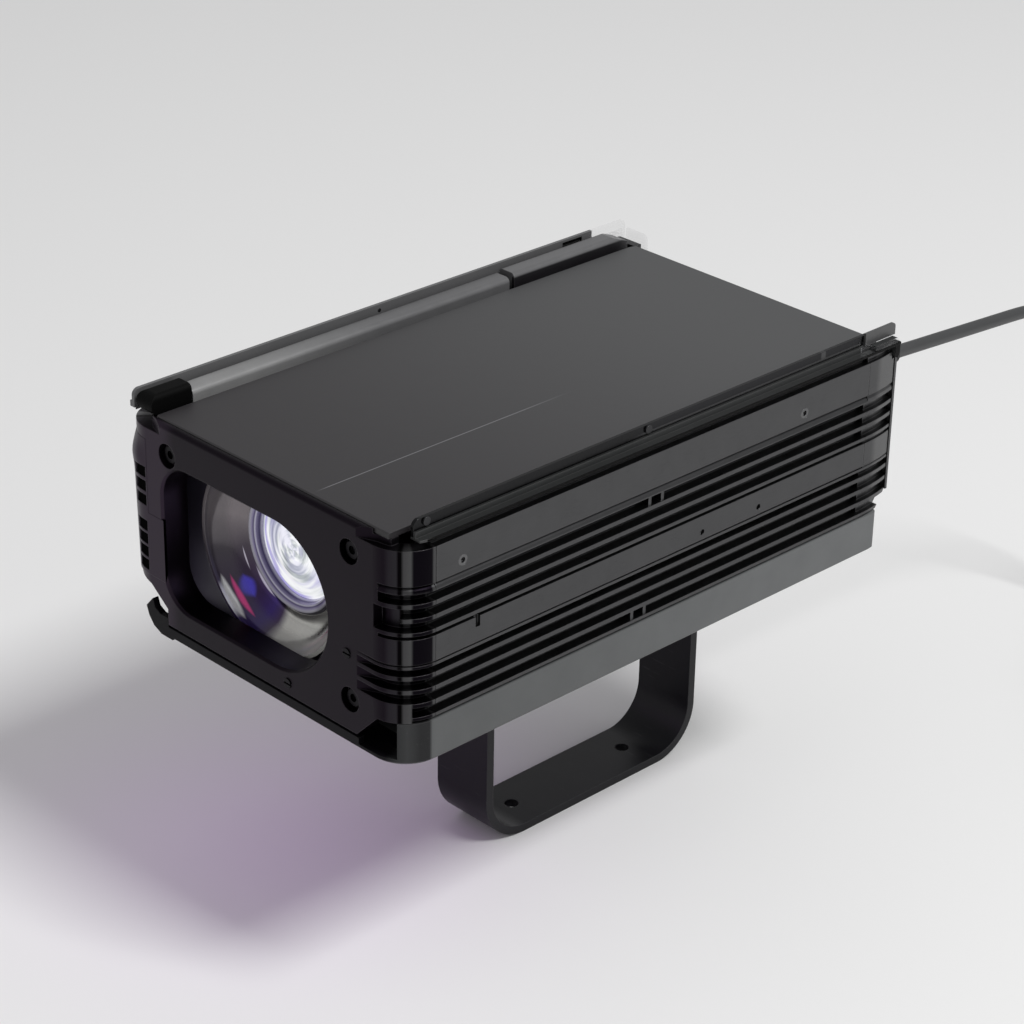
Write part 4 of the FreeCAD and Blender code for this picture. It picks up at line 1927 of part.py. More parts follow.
def rounded_path(points):
    """Straight runs joined by tangent arcs, each as large as its runs allow."""
    edges, radii = [], []
    here = points[0]
    for before, corner, after in zip(points, points[1:], points[2:]):
        back, ahead = before - corner, after - corner
        turn = math.pi - back.getAngle(ahead)
        shorter = min(back.Length, ahead.Length)
        tangent = ARC_SHARE * shorter
        radii.append(tangent / math.tan(turn / 2))
        a = corner + V(back).normalize() * tangent
        b = corner + V(ahead).normalize() * tangent
        inward = (V(back).normalize() + V(ahead).normalize()).normalize()
        away = radii[-1] / math.cos(turn / 2) - radii[-1]
        edges.append(Part.LineSegment(here, a))
        edges.append(Part.Arc(a, corner + inward * away, b))
        here = b
    edges.append(Part.LineSegment(here, points[-1]))
    return Part.Wire([edge.toShape() for edge in edges]), radii


def swept(path, start, heading):
    """A round tube of the lead's section along a path."""
    section = Part.Wire([Part.Circle(start, heading, CORD_R).toShape()])
    tube = Part.BRepOffsetAPI.MakePipeShell(path)
    tube.add(section)
    tube.build()
    tube.makeSolid()
    return tube.shape()


def report_tube(name, tube, path):
    """Prints a tube's volume against its section times its length."""
    ideal = math.pi * CORD_R ** 2 * path.Length
    print(f"{name}: length {path.Length:.1f}, volume {tube.Volume:.0f}, section times length {ideal:.0f}")


def mains_cord():
    """The free stretch of the lead."""
    points = cord_route()
    path, radii = rounded_path(points)
    tube = swept(path, points[0], points[1] - points[0])
    print("mains_cord radii in diameters:", [round(r / CORD_D, 1) for r in radii])
    report_tube("mains_cord", tube, path)
    return tube


def coil_radius(turns):
    """The coil's radius after some turns: steadily in to the middle, then out again."""
    from_middle = abs(turns - COIL_TURNS / 2)
    return COIL_MID_R + COIL_PITCH * (from_middle - COIL_TURNS / 4)


def coil_point(turns):
    """A point of the coil's centre line, climbing one layer as the spiral reverses."""
    r = coil_radius(turns)
    angle = math.radians(COIL_START_DEG - turns * FULL_TURN)
    quarter = 1 / 4
    climb = (turns - COIL_TURNS / 2 + quarter) / (quarter * 2)
    climb = min(max(climb, 0), 1)
    rise = COIL_RISE * (1 - math.cos(math.pi * climb)) / 2
    return V(COIL_X + r * math.cos(angle), COIL_Y + r * math.sin(angle), CORD_R + rise)


def coil_heading(turns):
    """The coil's direction of travel, from two points close together."""
    step = 1 / COIL_STEPS_A_TURN ** 6
    low, high = max(turns - step, 0), min(turns + step, COIL_TURNS)
    heading = coil_point(high) - coil_point(low)
    if turns in (0, COIL_TURNS):
        angle = math.radians(COIL_START_DEG - turns * FULL_TURN)
        heading = V(math.sin(angle), -math.cos(angle), 0)
    return heading.normalize()


def arc_middle(start, heading, end):
    """The middle point of the arc that leaves a point along a heading and ends at another."""
    chord = end - start
    along = V(chord).normalize()
    aside = (heading - along * heading.dot(along)).normalize()
    half_angle = heading.getAngle(along) / 2
    return start + chord * (1 / 2) + aside * (chord.Length / 2 * math.tan(half_angle))


def biarc(start, heading, end, end_heading):
    """Two tangent arcs between two points with given headings."""
    gap = end - start
    both = heading + end_heading
    square = 2 * (1 - heading.dot(end_heading))
    reach = (math.sqrt(gap.dot(both) ** 2 + square * gap.dot(gap)) - gap.dot(both)) / square
    meet = (start + end + (heading - end_heading) * reach) * (1 / 2)
    first = Part.Arc(start, arc_middle(start, heading, meet), meet)
    second = Part.Arc(meet, arc_middle(end, end_heading * -1, meet), end)
    return [first.toShape(), second.toShape()]


def coil_path():
    """The coil's centre line: a straight start, biarcs of a quarter turn, a straight end."""
    steps = round(COIL_TURNS * COIL_STEPS_A_TURN)
    places = [i / COIL_STEPS_A_TURN for i in range(steps + 1)]
    first, last = coil_point(places[0]), coil_point(places[-1])
    first_way, last_way = coil_heading(places[0]), coil_heading(places[-1])
    edges = [Part.LineSegment(first - first_way * CORD_D, first).toShape()]
    for a, b in zip(places, places[1:]):
        edges += biarc(coil_point(a), coil_heading(a), coil_point(b), coil_heading(b))
    edges.append(Part.LineSegment(last, last + last_way * COIL_TAIL).toShape())
    return Part.Wire(edges)


def coil_gap(path):
    """The least gap between stretches of the coil more than half a turn apart."""
    count = round(COIL_TURNS * COIL_CHECKS_A_TURN)
    points = path.discretize(count)
    apart = COIL_CHECKS_A_TURN // 2
    pairs = ((i, j) for i in range(count) for j in range(i + apart, count))
    return min(points[i].distanceToPoint(points[j]) for i, j in pairs) - CORD_D


def cord_coil():
    """The stored length of the lead, wound in two layers."""
    path = coil_path()
    start = coil_point(0) - coil_heading(0) * CORD_D
    tube = swept(path, start, coil_heading(0))
    print(f"cord_coil least gap to itself: {coil_gap(path):.2f} mm")
    report_tube("cord_coil", tube, path)
    return tube


def mains_plug():
    """The plug on the coil's end: tapered neck, flat body and two round pins."""
    place = coil_point(COIL_TURNS) + coil_heading(COIL_TURNS) * COIL_TAIL
    half = place.z
    neck = Part.makeCone(PLUG_NECK_R, PLUG_NECK_BASE_R, PLUG_NECK_L, place, V(0, -1, 0))
    y1 = place.y - PLUG_NECK_L
    body = box(place.x - PLUG_W / 2, place.x + PLUG_W / 2, y1 - PLUG_L, y1, 0, half * 2)
    edges = [e for e in body.Edges if e.BoundBox.YLength > SNUG_FIT]
    body = body.makeFillet(PLUG_CORNER_R, edges)
    pins = []
    for side in (-1, 1):
        x = place.x + side * PLUG_PIN_SPACING / 2
        pins.append(disc_rod_y(PLUG_PIN_R, y1 - PLUG_L - PLUG_PIN_L, y1 - PLUG_L, x, half))
    return fuse_all([body, neck] + pins)


def all_nodes():
    """Every node's name with the function that makes it."""
    makers = [
        base_pan, front_bezel, left_heatsink, right_heatsink, rear_panel, front_frame, bulkhead,
        left_rail, right_rail, left_guard, right_guard, guard_screws,
        top_lid, lid_hinge_bar, hinge_front_block, hinge_rear_block, hinge_pin,
        bezel_screws, bezel_trim_screws, panel_screws, m4_screws,
        reflector_bowl, lens_ring, inner_lens, optical_plate, red_laser, green_laser, blue_laser,
        dichroic_mirrors, effect_wheel, motor_pinion, wheel_bracket, wheel_motor,
        shutter_flag, shutter_solenoid, power_supply, control_board,
        fan_frame, fan_rotor, fan_grille, power_switch, power_rocker, key_switch, key_barrel,
        display_window, signal_sockets, cable_gland, mains_cord, cord_coil, mains_plug,
        yoke, yoke_hanger, friction_washers, pivot_bolts, lock_knob_front, lock_knob_rear,
    ]
    return {maker.__name__: maker for maker in makers}


def export_all():
    """Writes one file for each node."""
    os.makedirs("parts", exist_ok=True)
    for name, maker in all_nodes().items():
        maker().exportStep(f"parts/{name}.step")
    for number, (x, z) in enumerate(button_places(), start=1):
        menu_button(x, z).exportStep(f"parts/menu_button_{number}.step")


export_all()
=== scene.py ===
"""Looks of a laser show projector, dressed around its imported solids.

Lengths are in metres. +Z is up, the lens looks along -Y, and the yoke's foot stands on z = 0.
"""

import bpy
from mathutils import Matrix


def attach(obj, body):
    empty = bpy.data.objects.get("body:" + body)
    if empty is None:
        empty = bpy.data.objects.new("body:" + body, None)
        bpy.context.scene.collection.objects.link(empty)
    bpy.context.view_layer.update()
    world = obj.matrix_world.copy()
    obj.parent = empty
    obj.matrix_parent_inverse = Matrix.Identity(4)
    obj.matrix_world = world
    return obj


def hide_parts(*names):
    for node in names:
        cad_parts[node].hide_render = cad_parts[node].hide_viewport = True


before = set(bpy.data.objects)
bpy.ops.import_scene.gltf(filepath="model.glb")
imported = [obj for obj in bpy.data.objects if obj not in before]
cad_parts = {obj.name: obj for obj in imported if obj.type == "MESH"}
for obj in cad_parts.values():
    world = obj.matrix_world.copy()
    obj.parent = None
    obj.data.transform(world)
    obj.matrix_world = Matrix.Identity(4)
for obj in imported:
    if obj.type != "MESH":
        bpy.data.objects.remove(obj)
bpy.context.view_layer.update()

import logging
import math
from collections.abc import Iterable
from dataclasses import dataclass, field
from enum import Enum

import bpy
import numpy as np
from mathutils import Matrix, Vector

LOG = logging.getLogger("projector")
MM = 0.001
CHASSIS = "chassis"
FLOAT, VECTOR = "NodeSocketFloat", "NodeSocketVector"

Node = bpy.types.Node
Socket = bpy.types.NodeSocket
Tree = bpy.types.NodeTree
Colour = tuple[float, float, float]
Point = tuple[float, float, float]
Span = tuple[float, float]
Stops = tuple[tuple[float, Colour], ...]
Value = float | int | tuple | Socket


def mm(*lengths: float) -> tuple[float, ...]:
    """Lengths given in millimetres, in metres."""
    return tuple(length * MM for length in lengths)


def grey(tone: float) -> Colour:
    """An even grey."""
    return tone, tone, tone


class Axis(Enum):
    """The part's axes by their place in a point."""

    X = 0
    Y = 1
    Z = 2


class Wiring:
    """Adds and joins the nodes of one shader tree."""

    def __init__(self, tree: Tree) -> None:
        """Keeps the tree that the nodes go into."""
        self.tree = tree

    def add(self, kind: str, inputs: dict | None = None, **settings: object) -> Node:
        """Adds a node.

        Args:
            kind: the node's type.
            inputs: values or sockets for its inputs, by name or place.
            settings: the node's own options.

        Returns:
            The new node.
        """
        node = self.tree.nodes.new(kind)
        for name, value in settings.items():
            setattr(node, name, value)
        for key, value in (inputs or {}).items():
            self.put(node.inputs[key], value)
        return node

    def put(self, socket: Socket, value: Value) -> None:
        """Joins a socket to another, or sets its plain value.

        Args:
            socket: the input to fill.
            value: the other socket, or the plain value.
        """
        if isinstance(value, Socket):
            self.tree.links.new(value, socket)
        elif isinstance(value, tuple) and socket.type == "RGBA":
            socket.default_value = (*value, 1.0)
        else:
            socket.default_value = value

    def math(self, operation: str, a: Value, b: Value = 0.0, c: Value = 0.0) -> Socket:
        """The result of one sum on up to three values."""
        return self.add("ShaderNodeMath", {0: a, 1: b, 2: c}, operation=operation).outputs[0]

    def times(self, a: Value, b: Value) -> Socket:
        """The product of two values."""
        return self.math("MULTIPLY", a, b)

    def minus(self, a: Value, b: Value) -> Socket:
        """The difference of two values."""
        return self.math("SUBTRACT", a, b)

    def above(self, a: Value, b: Value) -> Socket:
        """1 where a value is over another, and 0 elsewhere."""
        return self.math("GREATER_THAN", a, b)

    def below(self, a: Value, b: Value) -> Socket:
        """1 where a value is under another, and 0 elsewhere."""
        return self.math("LESS_THAN", a, b)

    def within(self, value: Value, low: float, high: float) -> Socket:
        """1 between two limits, and 0 elsewhere."""
        return self.times(self.above(value, low), self.below(value, high))

    def vector(self, operation: str, a: Value, b: Value) -> Node:
        """The node of one sum on two vectors."""
        return self.add("ShaderNodeVectorMath", {0: a, 1: b}, operation=operation)

    def scaled(self, vector: Value, factor: Value) -> Socket:
        """A vector or colour times a factor."""
        return self.add("ShaderNodeVectorMath", {0: vector, "Scale": factor}, operation="SCALE").outputs[0]

    def parts(self, place: Socket) -> tuple[Socket, ...]:
        """The three coordinates of a place."""
        return tuple(self.add("ShaderNodeSeparateXYZ", {0: place}).outputs)

    def noise(self, place: Socket, scale: Value, options: dict[str, float]) -> Socket:
        """Noise from about 0 to 1 at a place."""
        return self.add("ShaderNodeTexNoise", {"Vector": place, "Scale": scale, **options}).outputs[0]

    def spread(self, value: Value, low: float, high: float, to_low: float = 0.0,
               to_high: float = 1.0) -> Socket:
        """A value carried smoothly from one range to another and held at its ends.

        Args:
            value: the value.
            low: the start of its range.
            high: the end of its range.
            to_low: the result at the start.
            to_high: the result at the end.

        Returns:
            The result's socket.
        """
        inputs = {"Value": value, "From Min": low, "From Max": high, "To Min": to_low, "To Max": to_high}
        node = self.add("ShaderNodeMapRange", inputs, interpolation_type="SMOOTHSTEP")
        return node.outputs["Result"]

    def mix(self, share: Value, a: Value, b: Value) -> Socket:
        """Two colours mixed by a share."""
        return self.add("ShaderNodeMix", {0: share, 6: a, 7: b}, data_type="RGBA").outputs[2]

    def ramp(self, value: Value, stops: Iterable[tuple[float, Colour]]) -> Socket:
        """A colour read from a row of stops.

        Args:
            value: the place along the row, from 0 to 1.
            stops: places with their colours, in order.

        Returns:
            The colour's socket.
        """
        node = self.add("ShaderNodeValToRGB", {0: value})
        row = node.color_ramp.elements
        for i, (place, colour) in enumerate(stops):
            stop = row[i] if i < len(row) else row.new(place)
            stop.position = place
            stop.color = (*colour, 1.0)
        return node.outputs["Color"]


def new_group(name: str, inputs: dict[str, str], outputs: dict[str, str]) -> tuple[Wiring, dict, dict]:
    """Starts a shared effect.

    Args:
        name: the group's name.
        inputs: its inputs' names and socket types.
        outputs: its outputs' names and socket types.

    Returns:
        The group's wiring, what it is given and what it puts out, by name.
    """
    tree = bpy.data.node_groups.new(name, "ShaderNodeTree")
    for way, sockets in (("INPUT", inputs), ("OUTPUT", outputs)):
        for socket, kind in sockets.items():
            tree.interface.new_socket(socket, in_out=way, socket_type=kind)
    wiring = Wiring(tree)
    given, out = wiring.add("NodeGroupInput").outputs, wiring.add("NodeGroupOutput").inputs
    return wiring, {key: given[key] for key in inputs}, {key: out[key] for key in outputs}


class Effects:
    """Shader node groups that several finishes share, each built once."""

    BROAD_SHARE = 0.035
    FINE_NOISE = {"Detail": 3.0, "Roughness": 0.6}
    BROAD_NOISE = {"Detail": 4.0, "Roughness": 0.55}
    SCUFF_NOISE = {"Detail": 2.0, "Distortion": 0.4}
    SCUFF_PEAKS = (0.66, 0.74)
    EDGE_SAMPLES = 4
    EDGE_TURN = (0.015, 0.22)

    def __init__(self) -> None:
        """Builds every group."""
        self.grain = self.build_grain()
        self.edges = self.build_edges()
        self.scuffs = self.build_scuffs()

    def build_grain(self) -> Tree:
        """Fine speckle and broad cloudiness, from noise at two scales.

        Returns:
            The group.
        """
        inputs = {"Vector": VECTOR, "Stretch": VECTOR, "Scale": FLOAT}
        w, given, out = new_group("fine_grain", inputs, {"Fine": FLOAT, "Broad": FLOAT})
        place = w.vector("MULTIPLY", given["Vector"], given["Stretch"]).outputs[0]
        slow = w.times(given["Scale"], self.BROAD_SHARE)
        w.put(out["Fine"], w.noise(place, given["Scale"], self.FINE_NOISE))
        w.put(out["Broad"], w.noise(given["Vector"], slow, self.BROAD_NOISE))
        return w.tree

    def build_edges(self) -> Tree:
        """Rounded edges: the surface turns over a small radius, and the mask is how far it turned.

        Returns:
            The group.
        """
        w, given, out = new_group("soft_edges", {"Radius": FLOAT}, {"Mask": FLOAT, "Normal": VECTOR})
        bevel = w.add("ShaderNodeBevel", {"Radius": given["Radius"]}, samples=self.EDGE_SAMPLES).outputs[0]
        flat = w.add("ShaderNodeNewGeometry").outputs["Normal"]
        agree = w.vector("DOT_PRODUCT", bevel, flat).outputs["Value"]
        w.put(out["Mask"], w.spread(w.minus(1.0, agree), *self.EDGE_TURN))
        w.put(out["Normal"], bevel)
        return w.tree

    def build_scuffs(self) -> Tree:
        """Thin scattered scratches: noise stretched one way, kept only at its peaks.

        Returns:
            The group.
        """
        inputs = {"Vector": VECTOR, "Stretch": VECTOR, "Amount": FLOAT}
        w, given, out = new_group("light_scuffs", inputs, {"Mask": FLOAT})
        place = w.vector("MULTIPLY", given["Vector"], given["Stretch"]).outputs[0]
        lines = w.noise(place, 1.0, self.SCUFF_NOISE)
        w.put(out["Mask"], w.times(w.spread(lines, *self.SCUFF_PEAKS), given["Amount"]))
        return w.tree


@dataclass(frozen=True)
class Grain:
    """How a finish varies over its surface.

    Attributes:
        scale: speckles to the metre.
        tint: how much the speckle lightens and darkens the colour.
        cloud: how much broad patches lighten and darken the colour.
        gloss: how much the speckle and patches change the roughness.
        bump: the speckle's height.
        stretch: the speckle's density along each axis, against its scale.
    """

    scale: float = 1800.0
    tint: float = 0.10
    cloud: float = 0.12
    gloss: float = 0.10
    bump: float = 0.02 * MM
    stretch: Point = (1.0, 1.0, 1.0)

    MEAN = 0.5


@dataclass(frozen=True)
class Finish:
    """One surface finish of the part.

    Attributes:
        name: the material's name.
        colour: its base colour.
        roughness: its mean roughness.
        metallic: 1 for bare metal, 0 for paint and plastic.
        coat: clear coat weight.
        specular: level of the plain reflection.
        edge_r: radius over which its edges turn.
        edge_colour: colour of its worn edges.
        edge_share: how far the edges take that colour.
        scuff: strength of its scratches.
        grain: how it varies.
    """

    name: str
    colour: Colour
    roughness: float
    metallic: float = 0.0
    coat: float = 0.0
    specular: float = 0.5
    edge_r: float = 0.4 * MM
    edge_colour: Colour = grey(0.3)
    edge_share: float = 0.25
    scuff: float = 0.0
    grain: Grain = field(default_factory=Grain)

    SCUFF_STRETCH = (60.0, 900.0, 500.0)
    COAT_ROUGHNESS = 0.12

    def material(self, effects: Effects) -> bpy.types.Material:
        """The finish's material, made on its first use.

        Args:
            effects: the shared node groups.

        Returns:
            The material.
        """
        found = bpy.data.materials.get(self.name)
        if found:
            return found
        made = bpy.data.materials.new(self.name)
        made.use_nodes = True
        made.node_tree.nodes.clear()
        wiring = Wiring(made.node_tree)
        shader = wiring.add("ShaderNodeBsdfPrincipled", {
            "Metallic": self.metallic, "Specular IOR Level": self.specular,
            "Coat Weight": self.coat, "Coat Roughness": self.COAT_ROUGHNESS})
        wiring.add("ShaderNodeOutputMaterial", {"Surface": shader.outputs[0]})
        self.dress(wiring, shader, effects)
        LOG.info("finish %s", self.name)
        return made

    def base(self, w: Wiring, place: Socket) -> Value:
        """The finish's colour before grain and wear."""
        return self.colour

    def dress(self, w: Wiring, shader: Node, effects: Effects) -> None:
        """Joins colour, roughness and relief to the shader.

        Args:
            w: the material's wiring.
            shader: its Principled shader.
            effects: the shared node groups.
        """
        place = w.add("ShaderNodeTexCoord").outputs["Object"]
        kind = self.grain
        grain = w.add("ShaderNodeGroup", node_tree=effects.grain, inputs={
            "Vector": place, "Stretch": kind.stretch, "Scale": kind.scale}).outputs
        edges = w.add("ShaderNodeGroup", {"Radius": self.edge_r}, node_tree=effects.edges).outputs
        fine, broad = (w.minus(grain[name], kind.MEAN) for name in ("Fine", "Broad"))
        clouds = w.math("MULTIPLY_ADD", broad, kind.cloud * 2, 1.0)
        tone = w.scaled(self.base(w, place), w.math("MULTIPLY_ADD", fine, kind.tint * 2, clouds))
        tone = w.mix(w.times(edges["Mask"], self.edge_share), tone, self.edge_colour)
        if self.scuff:
            scuffs = w.add("ShaderNodeGroup", node_tree=effects.scuffs, inputs={
                "Vector": place, "Stretch": self.SCUFF_STRETCH, "Amount": self.scuff}).outputs
            tone = w.mix(scuffs["Mask"], tone, self.edge_colour)
        rough = w.math("MULTIPLY_ADD", w.math("ADD", fine, broad), kind.gloss, self.roughness)
        bump = w.add("ShaderNodeBump", {
            "Height": grain["Fine"], "Normal": edges["Normal"], "Distance": kind.bump})
        w.put(shader.inputs["Base Color"], tone)
        w.put(shader.inputs["Roughness"], rough)
        w.put(shader.inputs["Normal"], bump.outputs[0])
        self.extra(w, shader, place)

    def extra(self, w: Wiring, shader: Node, place: Socket) -> None:
        """Anything more that a finish of its own needs."""


@dataclass(frozen=True)
class SmokedFinish(Finish):
    """Smoked plastic that is dark along its length and clear at its rear end, with painted black shade in the
    left slot and along the right rail's outer rim.

    Attributes:
        left_colour: its colour on the left side of the part.
        rear_colour: its colour on the right side, past the middle.
        low_colour: the foot of the right strip there.
        top_colour: its colour above the strips' tops.
        sliver_colour: the pale sliver on the right strip.
        clear_z: the heights between which the right side clears at its rear end.
        right_metal: how far its right side gives no light back but its reflections.
    """

    left_colour: Colour = (0.10, 0.10, 0.102)
    rear_colour: Colour = (0.024, 0.024, 0.026)
    low_colour: Colour = (0.070, 0.070, 0.072)
    top_colour: Colour = (0.029, 0.029, 0.031)
    sliver_colour: Colour = (0.07, 0.07, 0.072)
    clear_z: Span = mm(210.0, 222.4)
    right_metal: float = 1.0

    CLEAR_Y = mm(87.5, 88.8)
    CLEAR_ALPHA = 0.08
    CLEAR_COLOUR = (0.55, 0.55, 0.56)
    MIDDLE_Y = mm(-56.0, -40.0)
    LOW_Z = 222.5 * MM
    TOP_Z = 221.05 * MM
    # Painted shade: black along the right rail's outer rim, below this height and beyond this x.
    RIM_SHADE_Z = 218.6 * MM
    RIM_SHADE_X = 86.5 * MM
    # Painted shade: black inside the left slot, between these places and heights.
    SLOT_SHADE_Y = mm(69.0, 81.6)
    SLOT_SHADE_Z = mm(223.0, 225.4)
    SLIVER_Y = mm(62.8, 65.6)
    # The black of the painted shade.
    BLACK = grey(0.003)

    def clearing(self, w: Wiring, x: Socket, y: Socket, z: Socket) -> Socket:
        """How clear it is: the whole rear end on the left, and only between two heights on the right."""
        either = w.math("MAXIMUM", w.below(x, 0.0), w.within(z, *self.clear_z))
        return w.times(w.spread(y, *self.CLEAR_Y), either)

    def rim(self, w: Wiring, x: Socket, z: Socket) -> Socket:
        """The painted shade's place: 1 along the right rail's outer rim, and 0 elsewhere."""
        return w.times(w.below(z, self.RIM_SHADE_Z), w.above(x, self.RIM_SHADE_X))

    def base(self, w: Wiring, place: Socket) -> Value:
        """Its dark colour, paler at the rear, in the sliver and where it clears.

        It is painted black as shade in the left slot and along the right rail's outer rim.

        Args:
            w: the material's wiring.
            place: the place on the surface.

        Returns:
            The colour's socket.
        """
        x, y, z = w.parts(place)
        rear = w.spread(y, *self.MIDDLE_Y)
        tone = w.mix(rear, self.colour, self.rear_colour)
        tone = w.mix(w.times(rear, w.below(z, self.LOW_Z)), tone, self.low_colour)
        tone = w.mix(w.within(y, *self.SLIVER_Y), tone, self.sliver_colour)
        tone = w.mix(w.times(w.spread(y, *self.CLEAR_Y), w.above(z, self.TOP_Z)), tone, self.top_colour)
        # Painted shade: black along the right rail's outer rim.
        tone = w.mix(self.rim(w, x, z), tone, self.BLACK)
        left = w.below(x, 0.0)
        tone = w.mix(left, tone, self.left_colour)
        tone = w.mix(self.clearing(w, x, y, z), tone, self.CLEAR_COLOUR)
        # Painted shade inside the left slot.
        slot = w.times(w.within(y, *self.SLOT_SHADE_Y), w.within(z, *self.SLOT_SHADE_Z))
        return w.mix(w.times(slot, left), tone, self.BLACK)

    def extra(self, w: Wiring, shader: Node, place: Socket) -> None:
        """Thins it out where it clears, and sets where it gives no light back but its reflections, the
        painted shade along the rim included.

        Args:
            w: the material's wiring.
            shader: its Principled shader.
            place: the place on the surface.
        """
        x, y, z = w.parts(place)
        w.put(shader.inputs["Alpha"], w.spread(self.clearing(w, x, y, z), 0.0, 1.0, 1.0, self.CLEAR_ALPHA))
        right = w.times(w.above(x, 0.0), self.right_metal)
        w.put(shader.inputs["Metallic"], w.math("MAXIMUM", right, self.rim(w, x, z)))


@dataclass(frozen=True)
class HingeFinish(Finish):
    """Satin metal with a painted sheen towards the front, and painted shade low on its rear block's inner
    side.

    Attributes:
        front_sheen_colour: its colour at the front, paler as painted sheen.
        side_shade_colour: painted shade low on the rear block's inner side.
        front_sheen_y: where the painted sheen starts and where it is strongest.
    """

    front_sheen_colour: Colour = grey(0.26)
    side_shade_colour: Colour = (0.014, 0.013, 0.015)
    front_sheen_y: Span = mm(-40.0, -150.0)

    BLOCK_Y = 26.0 * MM
    SIDE_SHADE_Z = mm(222.6, 223.6)
    SIDE_X = -70.6 * MM

    def base(self, w: Wiring, place: Socket) -> Value:
        """Its colour by the place along the hinge, with painted sheen towards the front, and painted shade
        low down on the rear block's inner side.

        Args:
            w: the material's wiring.
            place: the place on the surface.

        Returns:
            The colour's socket.
        """
        x, y, z = w.parts(place)
        # Painted sheen towards the front.
        tone = w.mix(w.spread(y, *self.front_sheen_y), self.colour, self.front_sheen_colour)
        # Painted shade low on the rear block's inner side.
        low = w.spread(z, *self.SIDE_SHADE_Z, 1.0, 0.0)
        side = w.times(w.above(x, self.SIDE_X), w.above(y, self.BLOCK_Y))
        return w.mix(w.times(low, side), tone, self.side_shade_colour)


@dataclass(frozen=True)
class LidFinish(Finish):
    """Satin paint with one plain hairline along the lid, and a painted sheen that grows towards the rear.

    Attributes:
        line_x: the hairline's place across the lid.
        line_w: its width.
        line_y: where it starts and ends.
        line_colour: its colour.
        line_share: how strongly it shows.
        rear_colour: the paint's colour at the rear, paler as painted sheen.
        rear_sheen_y: where the painted sheen starts and where it is strongest.
    """

    line_x: float = 30.2 * MM
    line_w: float = 0.35 * MM
    line_y: Span = mm(-176.0, -30.0)
    line_colour: Colour = (0.22, 0.22, 0.23)
    line_share: float = 0.55
    rear_colour: Colour = (0.058, 0.059, 0.060)
    rear_sheen_y: Span = mm(-190.0, 90.0)

    FADES = mm(10.0, 40.0)

    def base(self, w: Wiring, place: Socket) -> Value:
        """Its paint, paler to the rear as painted sheen, with the hairline, which fades out at its ends.

        Args:
            w: the material's wiring.
            place: the place on the surface.

        Returns:
            The colour's socket.
        """
        x, along, _ = w.parts(place)
        (start, end), (fade_in, fade_out) = self.line_y, self.FADES
        aside = w.math("ABSOLUTE", w.minus(x, self.line_x))
        line = w.spread(aside, self.line_w / 2, self.line_w, 1.0, 0.0)
        line = w.times(line, w.spread(along, start, start + fade_in))
        line = w.times(line, w.spread(along, end - fade_out, end, 1.0, 0.0))
        # Painted sheen: the paint pales towards the rear.
        paint = w.mix(w.spread(along, *self.rear_sheen_y), self.colour, self.rear_colour)
        return w.mix(w.times(line, self.line_share), paint, self.line_colour)


@dataclass(frozen=True)
class CornerLightFinish(Finish):
    """A finish with painted reflection and painted shade bands round its rounded upright corners, and painted
    light along an axis.

    Attributes:
        arc_x: the corners' axes, either side of the middle.
        arc_y: the axes' place along the part.
        way: -1 for front corners and 1 for rear ones.
        stops: the painted reflection and shade tones by turn about the axis, from its own colour on the side
            at 0 to the end wall at 1.
        light_gains: painted light that changes its tones along an axis: the axis, where the change starts,
            where it ends, and the factor there.
    """

    arc_x: float = 70.0 * MM
    arc_y: float = -163.7 * MM
    way: float = -1.0
    stops: Stops = ()
    light_gains: tuple[tuple[Axis, float, float, float], ...] = ()

    def base(self, w: Wiring, place: Socket) -> Value:
        """Its painted reflection and shade tone from the turn about the nearer corner's axis; the flat walls
        hold the end tones. Painted light along the axes then scales it.

        Args:
            w: the material's wiring.
            place: the place on the surface.

        Returns:
            The colour's socket.
        """
        coordinates = w.parts(place)
        out = w.minus(w.math("ABSOLUTE", coordinates[Axis.X.value]), self.arc_x)
        ahead = w.times(w.minus(coordinates[Axis.Y.value], self.arc_y), self.way)
        turn = w.math("ARCTAN2", w.math("MAXIMUM", ahead, 0.0), w.math("MAXIMUM", out, 0.0))
        # Painted reflection and shade bands by the turn about the corner.
        tone = w.ramp(w.math("DIVIDE", turn, math.pi / 2), ((0.0, self.colour), *self.stops))
        # Painted light: the tones scaled along each axis.
        for axis, start, end, factor in self.light_gains:
            tone = w.scaled(tone, w.spread(coordinates[axis.value], start, end, 1.0, factor))
        return tone


LENS_AXIS = mm(-9.0, 172.5)


def around_lens(w: Wiring, place: Socket) -> tuple[Socket, Socket]:
    """The distance from the lens axis, and the turn about it.

    Args:
        w: the material's wiring.
        place: the place on the surface.

    Returns:
        The distance, and the turn from 0 to 1, started at +X and rising towards +Z.
    """
    x, _, z = w.parts(place)
    x, z = w.minus(x, LENS_AXIS[0]), w.minus(z, LENS_AXIS[1])
    square = w.math("ADD", w.times(x, x), w.times(z, z))
    turn = w.math("DIVIDE", w.math("ARCTAN2", z, x), math.tau)
    return w.math("SQRT", square), w.math("FRACT", w.math("ADD", turn, 1.0))


